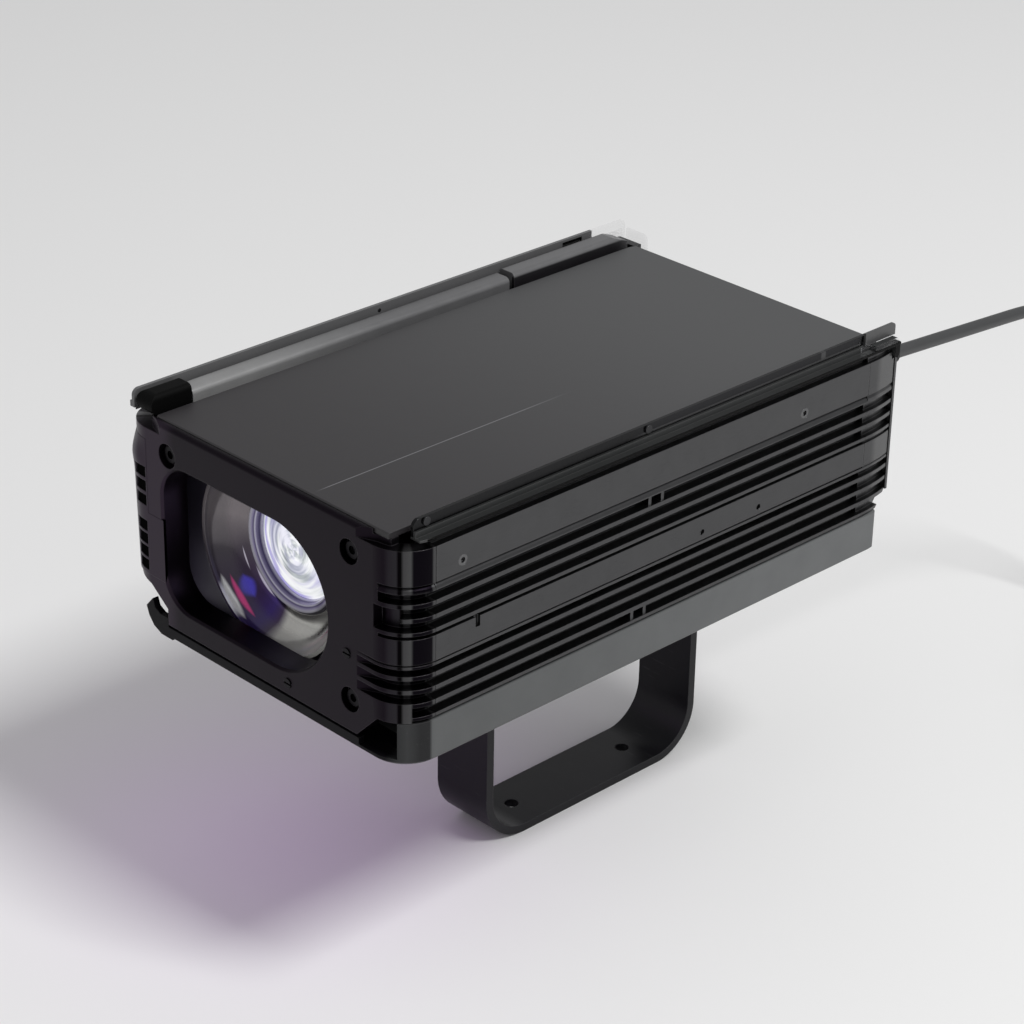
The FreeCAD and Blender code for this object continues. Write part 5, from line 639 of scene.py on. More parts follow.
@dataclass(frozen=True)
class PaintedReflectionMirror(Finish):
    """A polished bowl with painted reflections whose hue changes round the axis, and painted glints.

    Attributes:
        stops: the painted reflection hues by turn about the axis, from its own colour at 0.
        painted_glints: painted highlights of their own hue: radius, its half width, turn, its half width, and
            the colour.
    """

    stops: Stops = ()
    painted_glints: tuple[tuple[float, float, float, float, Colour], ...] = ()

    DULL_R = mm(35.0, 39.0)
    RIM_METAL = 0.25
    HUE_SCALE = 60.0
    HUE_NOISE = {"Detail": 2.0}
    HUE_SHIFT = 0.03
    GLINT_EDGE = (0.3, 1.0)

    def base(self, w: Wiring, place: Socket) -> Value:
        """Its painted reflection hue from the turn about the axis, a little unsettled by noise, under its
        painted glints.

        Args:
            w: the material's wiring.
            place: the place on the surface.

        Returns:
            The colour's socket.
        """
        away, turn = around_lens(w, place)
        noise = w.minus(w.noise(place, self.HUE_SCALE, self.HUE_NOISE), Grain.MEAN)
        turn = w.math("ADD", turn, w.times(noise, self.HUE_SHIFT))
        tone = w.ramp(turn, ((0.0, self.colour), *self.stops))
        # Painted glints, tapered at their ends.
        for radius, half_r, middle, half_t, colour in self.painted_glints:
            off_r = w.math("DIVIDE", w.math("ABSOLUTE", w.minus(away, radius)), half_r)
            off_t = w.math("DIVIDE", w.minus(turn, middle), half_t)
            off = w.math("ADD", off_r, w.times(off_t, off_t))
            tone = w.mix(w.spread(off, *self.GLINT_EDGE, 1.0, 0.0), tone, colour)
        return tone

    def extra(self, w: Wiring, shader: Node, place: Socket) -> None:
        """Dulls the mirror towards its rim."""
        away, _ = around_lens(w, place)
        w.put(shader.inputs["Metallic"], w.spread(away, *self.DULL_R, 1.0, self.RIM_METAL))


@dataclass(frozen=True)
class SteppedRing(Finish):
    """A ring turned in fine steps, with painted highlights and shade where the steps would catch the lens's
    light, and a painted glow.

    Attributes:
        radii: its inner and outer radius.
        stops: the painted highlight and shade tones from its own colour at the inner radius to the outer
            radius.
        glow: strength of its painted glow, standing in for the lens's light that it gives back.
    """

    radii: Span = mm(22.4, 27.4)
    stops: Stops = ()
    glow: float = 0.3

    def base(self, w: Wiring, place: Socket) -> Value:
        """Its painted highlight and shade tone by the distance from the axis.

        Args:
            w: the material's wiring.
            place: the place on the surface.

        Returns:
            The colour's socket.
        """
        away, _ = around_lens(w, place)
        low, high = self.radii
        share = w.math("DIVIDE", w.minus(away, low), high - low)
        return w.ramp(share, ((0.0, self.colour), *self.stops))

    def extra(self, w: Wiring, shader: Node, place: Socket) -> None:
        """Paints a little of the lens's light on the steps as a glow."""
        # Painted glow: emission of its own tones.
        w.put(shader.inputs["Emission Color"], self.base(w, place))
        w.put(shader.inputs["Emission Strength"], self.glow)


@dataclass(frozen=True)
class GlowingLens(Finish):
    """A lens lit from behind, with pale arcs about its axis.

    Attributes:
        glow: strength of its own light.
        stops: the hues of its arcs.
        rim_colour: the hue at its rim.
    """

    glow: float = 1.0
    stops: Stops = ()
    rim_colour: Colour = (0.34, 0.30, 0.66)

    ARC_SCALES = (330.0, 210.0)
    TURN_SCALE = 0.7
    ARC_NOISE = {"Detail": 2.0, "Roughness": 0.5, "Distortion": 0.2}
    TINT_PEAKS = (0.42, 0.58)
    RIM_R = mm(12.0, 23.0)
    MIDDLE_TINT = 0.25

    def extra(self, w: Wiring, shader: Node, place: Socket) -> None:
        """Lights it from within, in arcs.

        Noise read by the distance from the axis and, more slowly, by the direction from it, sets grey or
        white; a second one adds violet, most of all at the rim.

        Args:
            w: the material's wiring.
            shader: its Principled shader.
            place: the place on the surface.
        """
        away, turn = around_lens(w, place)
        angle = w.times(turn, math.tau)
        across, up = (w.times(w.math(way, angle), self.TURN_SCALE) for way in ("COSINE", "SINE"))
        arcs, tints = (w.noise(
            w.add("ShaderNodeCombineXYZ", {0: w.times(away, scale), 1: across, 2: up}).outputs[0],
            1.0, self.ARC_NOISE) for scale in self.ARC_SCALES)
        rim = w.spread(away, *self.RIM_R, self.MIDDLE_TINT, 1.0)
        tint = w.times(w.spread(tints, *self.TINT_PEAKS), rim)
        w.put(shader.inputs["Emission Color"], w.mix(tint, w.ramp(arcs, self.stops), self.rim_colour))
        w.put(shader.inputs["Emission Strength"], self.glow)


class Finishes:
    """Every finish of the part, by name."""

    # Painted reflection bands round the rear corners, and painted light a little stronger towards the rear.
    ANODISED = CornerLightFinish(
        "black_anodised", (0.072, 0.072, 0.074), 0.30, metallic=1.0, edge_colour=(0.22, 0.22, 0.225),
        edge_share=0.4, edge_r=0.5 * MM, grain=Grain(2600, stretch=(1.0, 0.08, 1.0), bump=0.008 * MM),
        arc_x=69.0 * MM, arc_y=90.3 * MM, way=1.0, light_gains=((Axis.Y, *mm(-150.0, 90.0), 1.06),), stops=(
            (0.18, (0.070, 0.070, 0.072)), (0.30, (0.115, 0.115, 0.116)), (0.55, (0.095, 0.095, 0.096)),
            (1.0, (0.060, 0.060, 0.062))))
    # Painted reflection and shade bands round the front corners, and painted light that triples the tone from
    # x = -50 mm to -60 mm and beyond on the left.
    CAST = CornerLightFinish(
        "dark_casting", (0.072, 0.072, 0.074), 0.40, metallic=1.0, edge_colour=(0.11, 0.105, 0.11),
        edge_share=0.3, edge_r=0.6 * MM, grain=Grain(1500), light_gains=((Axis.X, *mm(-50.0, -60.0), 3.0),), stops=(
            (0.04, (0.070, 0.070, 0.072)), (0.07, (0.004, 0.003, 0.005)), (0.36, (0.005, 0.004, 0.006)),
            (0.40, (0.072, 0.072, 0.073)), (0.50, (0.060, 0.059, 0.061)), (0.54, (0.002, 0.002, 0.002)),
            (0.58, (0.003, 0.002, 0.003)), (0.61, (0.028, 0.026, 0.030)), (0.72, (0.024, 0.021, 0.026)),
            (0.80, (0.0115, 0.0082, 0.0125)), (1.0, (0.0115, 0.0082, 0.0125))))
    # Painted sheen: paler towards the rear.
    LID = LidFinish(
        "satin_lid", (0.0195, 0.0175, 0.0195), 0.46, edge_colour=(0.14, 0.14, 0.145), edge_r=0.6 * MM,
        grain=Grain(2400, tint=0.06, cloud=0.05, gloss=0.06, bump=0.012 * MM))
    # Painted reflection and shade bands round the front corners, and painted light that grows towards the
    # rear.
    PAN = CornerLightFinish(
        "grey_pan", (0.101, 0.104, 0.105), 0.42, specular=0.08, edge_colour=grey(0.12), edge_r=0.6 * MM,
        scuff=0.10, grain=Grain(2000, tint=0.08, gloss=0.08, bump=0.015 * MM),
        light_gains=((Axis.Y, *mm(-150.0, 110.0), 1.38),), stops=(
            (0.05, (0.099, 0.102, 0.103)), (0.10, (0.020, 0.020, 0.021)), (0.25, (0.022, 0.022, 0.023)),
            (0.45, (0.044, 0.045, 0.046)), (0.60, (0.034, 0.035, 0.036)), (0.80, (0.005, 0.0045, 0.006)),
            (1.0, (0.004, 0.0035, 0.005))))
    # Painted sheen towards the front, and painted shade low on the rear block's inner side.
    HINGE = HingeFinish(
        "grey_hinge", (0.135, 0.135, 0.138), 0.34, metallic=0.3, edge_colour=grey(0.45), edge_r=0.5 * MM,
        grain=Grain(2600, stretch=(1.0, 0.06, 1.0)))
    # Painted shade: black in the left slot and along the right rail's outer rim.
    SMOKED = SmokedFinish(
        "smoked_guard", (0.020, 0.020, 0.021), 0.24, edge_colour=grey(0.10), edge_share=0.4, edge_r=0.3 * MM)
    # Painted shade: black in the left slot and along the right rail's outer rim.
    RAIL = SmokedFinish(
        "grey_rail", (0.020, 0.021, 0.021), 0.38, edge_colour=grey(0.10), edge_share=0.4, edge_r=0.3 * MM,
        rear_colour=(0.026, 0.027, 0.027), low_colour=(0.026, 0.027, 0.027),
        sliver_colour=(0.026, 0.027, 0.027), top_colour=(0.060, 0.060, 0.061),
        clear_z=mm(218.6, 220.95), right_metal=0.0)
    # Painted reflections round the axis, with painted glints.
    BOWL = PaintedReflectionMirror(
        "bowl_painted_reflections", (0.30, 0.30, 0.28), 0.14, metallic=1.0, edge_share=0.1,
        grain=Grain(900, bump=0.0), stops=(
            (0.25, (0.17, 0.16, 0.16)), (0.48, (0.19, 0.17, 0.18)), (0.55, (0.07, 0.06, 0.075)),
            (0.60, (0.055, 0.04, 0.07)), (0.65, (0.05, 0.03, 0.09)), (0.69, (0.055, 0.035, 0.16)),
            (0.715, (0.07, 0.05, 0.10)), (0.74, (0.56, 0.55, 0.52)), (0.95, (0.60, 0.60, 0.57))), painted_glints=(
            (*mm(36.4, 3.8), 0.626, 0.026, (0.10, 0.08, 0.60)),
            (*mm(39.9, 1.0), 0.636, 0.042, (0.80, 0.07, 0.30)),
            (*mm(41.6, 1.0), 0.632, 0.042, grey(1.0)),
            (*mm(29.5, 1.0), 0.64, 0.05, (0.50, 0.46, 0.58)),
            (*mm(33.0, 0.5), 0.575, 0.030, (0.50, 0.46, 0.55))))
    # Painted highlights and shade in rings, and a painted glow.
    RING = SteppedRing(
        "violet_ring", (0.22, 0.20, 0.32), 0.16, metallic=0.5, edge_share=0.2, edge_colour=(0.6, 0.6, 0.66),
        grain=Grain(bump=0.0), stops=(
            (0.10, (0.40, 0.39, 0.48)), (0.18, (0.05, 0.04, 0.11)), (0.30, (0.22, 0.20, 0.32)),
            (0.40, (0.36, 0.35, 0.42)), (0.50, (0.05, 0.04, 0.10)), (0.62, (0.17, 0.15, 0.25)),
            (0.78, (0.26, 0.25, 0.30)), (0.92, (0.17, 0.165, 0.19)), (1.00, (0.03, 0.028, 0.035))))
    LENS = GlowingLens(
        "glowing_lens", (0.10, 0.10, 0.13), 0.06, coat=0.5, edge_share=0.0, glow=0.95,
        grain=Grain(bump=0.0), stops=(
            (0.34, (0.26, 0.28, 0.31)), (0.46, (0.52, 0.56, 0.56)), (0.54, (0.80, 0.82, 0.82)),
            (0.62, (0.96, 0.97, 0.97))))
    STEEL = Finish(
        "plain_steel", (0.34, 0.34, 0.35), 0.24, metallic=1.0, edge_colour=grey(0.6), edge_r=0.2 * MM)
    SCREW = Finish(
        "dark_screw", (0.13, 0.13, 0.133), 0.26, metallic=1.0, edge_colour=grey(0.22), edge_share=0.5,
        edge_r=0.2 * MM)
    SUNK = Finish(
        "sunk_screw", (0.010, 0.009, 0.011), 0.36, metallic=1.0, edge_colour=(0.04, 0.04, 0.042),
        edge_r=0.2 * MM)
    DARK_STEEL = Finish("blackened_steel", (0.022, 0.022, 0.024), 0.30, metallic=0.6, edge_r=0.2 * MM)
    MILLED = Finish(
        "milled_plate", (0.45, 0.45, 0.46), 0.36, metallic=1.0, edge_colour=grey(0.7),
        grain=Grain(2200, stretch=(0.05, 1.0, 1.0)))
    HEAD = Finish("laser_head", (0.035, 0.035, 0.038), 0.35, edge_colour=grey(0.2))
    BRASS = Finish(
        "turned_brass", (0.55, 0.39, 0.15), 0.28, metallic=1.0, edge_colour=(0.8, 0.65, 0.35),
        edge_r=0.15 * MM)
    BOARD = Finish(
        "green_board", (0.020, 0.110, 0.040), 0.32, coat=0.4, edge_colour=(0.25, 0.22, 0.10),
        edge_r=0.2 * MM)
    PLASTIC = Finish(
        "black_plastic", (0.016, 0.016, 0.017), 0.44, edge_colour=grey(0.08),
        grain=Grain(3200, bump=0.03 * MM))
    BLACK = Finish("dull_black", grey(0.002), 0.60, specular=0.06, edge_colour=grey(0.03))
    # Painted shade: a black sheet behind the strip's slots, where there is only shade.
    SLOT_SHADE = Finish("painted_slot_shade", grey(0.003), 0.60, specular=0.0, edge_share=0.0)
    INNER = Finish(
        "inner_black", (0.060, 0.052, 0.080), 0.50, specular=0.30, edge_colour=(0.04, 0.04, 0.045))
    SUPPLY = Finish("folded_case", grey(0.55), 0.34, metallic=1.0, edge_colour=grey(0.75), scuff=0.2)
    BUTTON = Finish("grey_button", (0.13, 0.13, 0.135), 0.48, edge_colour=grey(0.28), grain=Grain(3200))
    DISPLAY = Finish(
        "dark_pane", (0.006, 0.006, 0.010), 0.08, coat=0.8, edge_share=0.1, grain=Grain(bump=0.0))
    FLEX = Finish("grey_flex", (0.040, 0.041, 0.042), 0.42, edge_share=0.0, grain=Grain(1600))
    YOKE = Finish(
        "black_yoke", (0.0045, 0.0043, 0.006), 0.36, specular=0.26, edge_colour=(0.13, 0.13, 0.135),
        edge_share=0.4, edge_r=0.5 * MM, scuff=0.10, grain=Grain(2200, tint=0.12))
    WASHER = Finish(
        "friction_lining", (0.028, 0.026, 0.025), 0.75, edge_share=0.1, grain=Grain(2600, bump=0.05 * MM))
    DISC = Finish(
        "clear_disc", (0.60, 0.66, 0.72), 0.10, coat=0.5, edge_colour=(0.8, 0.85, 0.9),
        grain=Grain(bump=0.0))
    STRAP = Finish(
        "woven_strap", (0.022, 0.022, 0.023), 0.80, edge_share=0.0,
        grain=Grain(2400, tint=0.3, bump=0.12 * MM))


EFFECTS = Effects()


def dress(finish: Finish, *nodes: str) -> None:
    """Gives solids of the frame a finish.

    Args:
        finish: the finish.
        nodes: the solids' names.
    """
    for name in nodes:
        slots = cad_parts[name].data.materials
        slots.clear()
        slots.append(finish.material(EFFECTS))
        LOG.info("%s takes %s", name, finish.name)


def put_in(name: str, data: bpy.types.ID) -> bpy.types.Object:
    """Puts an object into the scene.

    Args:
        name: the object's name.
        data: its mesh, curve, lamp or camera.

    Returns:
        The object.
    """
    made = bpy.data.objects.new(name, data)
    bpy.context.scene.collection.objects.link(made)
    return made


def add_piece(name: str, data: bpy.types.ID, finish: Finish) -> bpy.types.Object:
    """Puts a new piece into the scene on the chassis.

    Args:
        name: the piece's name.
        data: its mesh or curve, already in place.
        finish: its finish.

    Returns:
        The piece.
    """
    piece = put_in(name, data)
    data.materials.append(finish.material(EFFECTS))
    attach(piece, CHASSIS)
    LOG.info("piece %s on %s", name, CHASSIS)
    return piece


def grid_mesh(name: str, points: np.ndarray, wrap: bool = False, keep: np.ndarray | None = None,
              smooth: bool = True) -> bpy.types.Mesh:
    """A surface of quads over a grid of points.

    Each quad joins a grid point with its next ones along both parameters.

    Args:
        name: the mesh's name.
        points: places with shape (rows, columns, 3).
        wrap: whether the last row joins the first.
        keep: which quads stay; the others leave openings.
        smooth: whether it is shaded smooth.

    Returns:
        The mesh.
    """
    rows, columns = points.shape[:2]
    index = np.arange(rows * columns).reshape(rows, columns)
    if wrap:
        index = np.vstack([index, index[:1]])
    quads = np.stack([index[:-1, :-1], index[:-1, 1:], index[1:, 1:], index[1:, :-1]], axis=-1).reshape(-1, 4)
    if keep is not None:
        quads = quads[keep.ravel()]
    used, quads = np.unique(quads, return_inverse=True)
    quads = quads.reshape(-1, 4)
    mesh = bpy.data.meshes.new(name)
    mesh.from_pydata(points.reshape(-1, 3)[used], [], quads)
    mesh.polygons.foreach_set("use_smooth", np.full(len(quads), smooth))
    mesh.update()
    return mesh


def thicken(piece: bpy.types.Object, thickness: float) -> bpy.types.Object:
    """Makes a sheet a wall, thickened inwards."""
    piece.modifiers.new("wall", "SOLIDIFY").thickness = thickness
    return piece


@dataclass
class Shell:
    """The box's walls: pan, front casting, finned sides, rear panel and inner frames.

    Attributes:
        rib_x: the two edges of the upright strip over the groove ends at the right rear corner.
        rib_y: its outer face.
        rib_z: its lower and upper end.
        strip_axis: the axis of the slotted strip at the left front corner.
        strip_r: the corner's radius under the strip.
        strip_turn: where the strip starts and ends, in degrees from +X.
        strip_z: its lower and upper end.
        slot_turn: where its slots start and end.
        slot_z: the slots' middles.
        slot_h: their height.
        wall_t: the thickness of strip and rib.
    """

    rib_x: Span = mm(84.9, 80.5)
    rib_y: float = 109.95 * MM
    rib_z: Span = mm(146.5, 212.0)
    strip_axis: Span = mm(-70.0, -163.7)
    strip_r: float = 17.0 * MM
    strip_turn: Span = (200.0, 303.5)
    strip_z: Span = mm(146.0, 209.0)
    slot_turn: Span = (242.5, 267.0)
    slot_z: tuple[float, ...] = mm(150.2, 156.3, 162.4, 168.5, 180.4, 186.9, 193.4)
    slot_h: float = 4.9 * MM
    wall_t: float = 1.2 * MM

    RIB_GRID = (6, 24)
    STRIP_GRID = (45, 40)
    START_TURN = 15.0
    SWELL = mm(0.6, 1.2)
    SWELL_TURN = (232.0, 270.0)
    TOP_SWELL = mm(0.8, 200.0, 5.0)
    TOP_POWER = 12
    BACKING_SHARE = 0.35
    FRONT_Z = 175.0 * MM
    RAISED = 0.06 * MM

    def rib(self) -> None:
        """The upright strip that closes the grooves at the right rear corner.

        A flat grid over its width and height, thickened.
        """
        points = np.empty((*self.RIB_GRID, 3))
        points[..., 0] = np.linspace(*self.rib_x, self.RIB_GRID[0])[:, None]
        points[..., 1] = self.rib_y
        points[..., 2] = np.linspace(*self.rib_z, self.RIB_GRID[1])
        mesh = grid_mesh("right_rear_rib", points, smooth=False)
        thicken(add_piece("right_rear_rib", mesh, Finishes.ANODISED), self.wall_t)

    def swell(self, turn: np.ndarray, z: np.ndarray) -> np.ndarray:
        """How far the slotted strip stands out from the corner.

        It rises evenly with the height, with one bell near the top, and a high power brings it to nothing at
        the upper edge. A squared cosine fades it out towards the front, and a ramp starts it at the side.

        Args:
            turn: the turns about the axis, in degrees.
            z: the heights.

        Returns:
            The distances, with shape (turns, heights).
        """
        rise = (z - self.strip_z[0]) / (self.strip_z[1] - self.strip_z[0])
        bell, place, width = self.TOP_SWELL
        out = self.SWELL[0] + self.SWELL[1] * rise + bell * np.exp(-((z - place) / width) ** 2)
        low, high = self.SWELL_TURN
        fade = np.cos(np.clip((turn - low) / (high - low), 0, 1) * np.pi / 2)[:, None] ** 2
        start = np.clip((turn - self.strip_turn[0]) / self.START_TURN, 0, 1)[:, None]
        return out * (1 - rise ** self.TOP_POWER) * fade * start

    def strip(self) -> None:
        """The slotted strip round the left front corner, over a backing sheet of painted shade.

        The corner's arc is carried up with its swelling radius, and past the arc's end it runs straight on
        along the front, up to a lower height. Quads inside the slots are left out. The backing swells only
        in part as far.
        """
        across, up = self.STRIP_GRID
        bend_end = self.SWELL_TURN[1]
        edges = [middle + side * self.slot_h / 2 for middle in self.slot_z for side in (-1, 1)]
        turn = np.linspace(*self.strip_turn, across)
        turn = np.unique(np.concatenate([turn, self.slot_turn, self.SWELL_TURN]))
        z = np.unique(np.concatenate([np.linspace(*self.strip_z, up), edges]))
        bend = np.radians(np.minimum(turn, bend_end))[:, None]
        run = self.strip_r * np.radians(np.maximum(turn - bend_end, 0.0))[:, None]
        swell = self.swell(turn, z)
        mid_turn, mid_z = ((row[1:] + row[:-1]) / 2 for row in (turn, z))
        cut = (mid_turn > self.slot_turn[0]) & (mid_turn < self.slot_turn[1])
        level = np.abs(mid_z[:, None] - np.array(self.slot_z)).min(axis=1) < self.slot_h / 2
        whole = ~((mid_turn > bend_end)[:, None] & (mid_z > self.FRONT_Z))
        slotted = whole & ~(cut[:, None] & level)
        # The backing is a black sheet of painted shade, seen through the slots.
        for name, share, finish, keep in (("left_front_strip", 1.0, Finishes.CAST, slotted),
                                          ("slot_shade_backing", self.BACKING_SHARE, Finishes.SLOT_SHADE, whole)):
            radius = self.strip_r + (self.RAISED + swell) * share
            points = np.empty((len(turn), len(z), 3))
            points[..., 0] = self.strip_axis[0] + radius * np.cos(bend) + run
            points[..., 1] = self.strip_axis[1] + radius * np.sin(bend)
            points[..., 2] = z
            mesh = grid_mesh(name, points[::-1], keep=keep[::-1], smooth=False)
            thicken(add_piece(name, mesh, finish), self.wall_t)

    def dress(self) -> None:
        """Gives the walls their finishes."""
        dress(Finishes.PAN, "base_pan")
        dress(Finishes.CAST, "front_bezel")
        dress(Finishes.ANODISED, "left_heatsink", "right_heatsink", "rear_panel")
        dress(Finishes.INNER, "front_frame")
        dress(Finishes.MILLED, "bulkhead")
        dress(Finishes.SCREW, "m4_screws")
        dress(Finishes.SUNK, "bezel_screws", "bezel_trim_screws")
        dress(Finishes.DARK_STEEL, "panel_screws")


@dataclass
class Lid:
    """The hinged lid, its hinge, and the rails and guards on both sides of it.

    Attributes:
        tab_x: the clear tab's ends across the part.
        tab_y: its rear face.
        tab_z: its lower and upper edge.
        tab_r: its corner's radius.
        tab_t: its thickness.
    """

    tab_x: Span = mm(-78.5, -65.4)
    tab_y: float = 110.5 * MM
    tab_z: Span = mm(212.2, 222.8)
    tab_r: float = 3.2 * MM
    tab_t: float = 1.6 * MM

    TAB_GRID = (33, 7)

    def dress(self) -> None:
        """Gives the lid and what borders it their finishes."""
        dress(Finishes.LID, "top_lid")
        dress(Finishes.HINGE, "lid_hinge_bar", "hinge_rear_block")
        dress(Finishes.BLACK, "hinge_front_block")
        dress(Finishes.STEEL, "hinge_pin")
        dress(Finishes.RAIL, "left_rail", "right_rail")
        dress(Finishes.SMOKED, "left_guard", "right_guard")
        dress(Finishes.DARK_STEEL, "guard_screws")

    def tab(self) -> None:
        """The small clear tab behind the hinge.

        A flat grid stands across the part; its top falls by a quarter circle at its inner end, and it is
        thickened forwards.
        """
        (left, right), (low, high) = self.tab_x, self.tab_z
        across, up = self.TAB_GRID
        x = np.linspace(left, right, across)
        over = np.clip(x - (right - self.tab_r), 0, None)
        top = high - self.tab_r + np.sqrt(self.tab_r**2 - over**2)
        z = low + (top[:, None] - low) * np.linspace(0, 1, up)
        points = np.stack([np.broadcast_to(x[:, None], z.shape), np.full_like(z, self.tab_y), z], axis=2)
        thicken(add_piece("clear_tab", grid_mesh("clear_tab", points), Finishes.SMOKED), self.tab_t)


@dataclass
class Optics:
    """The window's bowl, ring and lens, and the beam's parts behind them."""

    def dress(self) -> None:
        """Gives the optics their finishes."""
        dress(Finishes.BOWL, "reflector_bowl")
        dress(Finishes.RING, "lens_ring")
        dress(Finishes.LENS, "inner_lens")
        dress(Finishes.DISC, "dichroic_mirrors", "effect_wheel")
        dress(Finishes.MILLED, "optical_plate", "wheel_bracket")
        dress(Finishes.HEAD, "red_laser", "green_laser", "blue_laser")
        dress(Finishes.BRASS, "motor_pinion")
        dress(Finishes.STEEL, "wheel_motor")
        dress(Finishes.PLASTIC, "shutter_flag", "shutter_solenoid")


@dataclass
class Works:
    """The supply, board and fan inside, and the controls on the rear panel.

    Attributes:
        buttons: how many menu buttons there are.
    """

    buttons: int = 4

    def dress(self) -> None:
        """Gives the works and the controls their finishes."""
        dress(Finishes.SUPPLY, "power_supply")
        dress(Finishes.BOARD, "control_board")
        dress(Finishes.PLASTIC, "fan_frame", "fan_rotor", "power_switch", "cable_gland")
        dress(Finishes.DARK_STEEL, "fan_grille")
        dress(Finishes.BUTTON, "power_rocker", *(f"menu_button_{i + 1}" for i in range(self.buttons)))
        dress(Finishes.STEEL, "key_switch", "key_barrel", "signal_sockets")
        dress(Finishes.DISPLAY, "display_window")


@dataclass
class Yoke:
    """The bent foot, its hanger, pivots and lock knobs."""

    def dress(self) -> None:
        """Gives the yoke and its pivots their finishes."""
        dress(Finishes.YOKE, "yoke", "yoke_hanger")
        dress(Finishes.WASHER, "friction_washers")
        dress(Finishes.DARK_STEEL, "pivot_bolts")
        dress(Finishes.PLASTIC, "lock_knob_front", "lock_knob_rear")


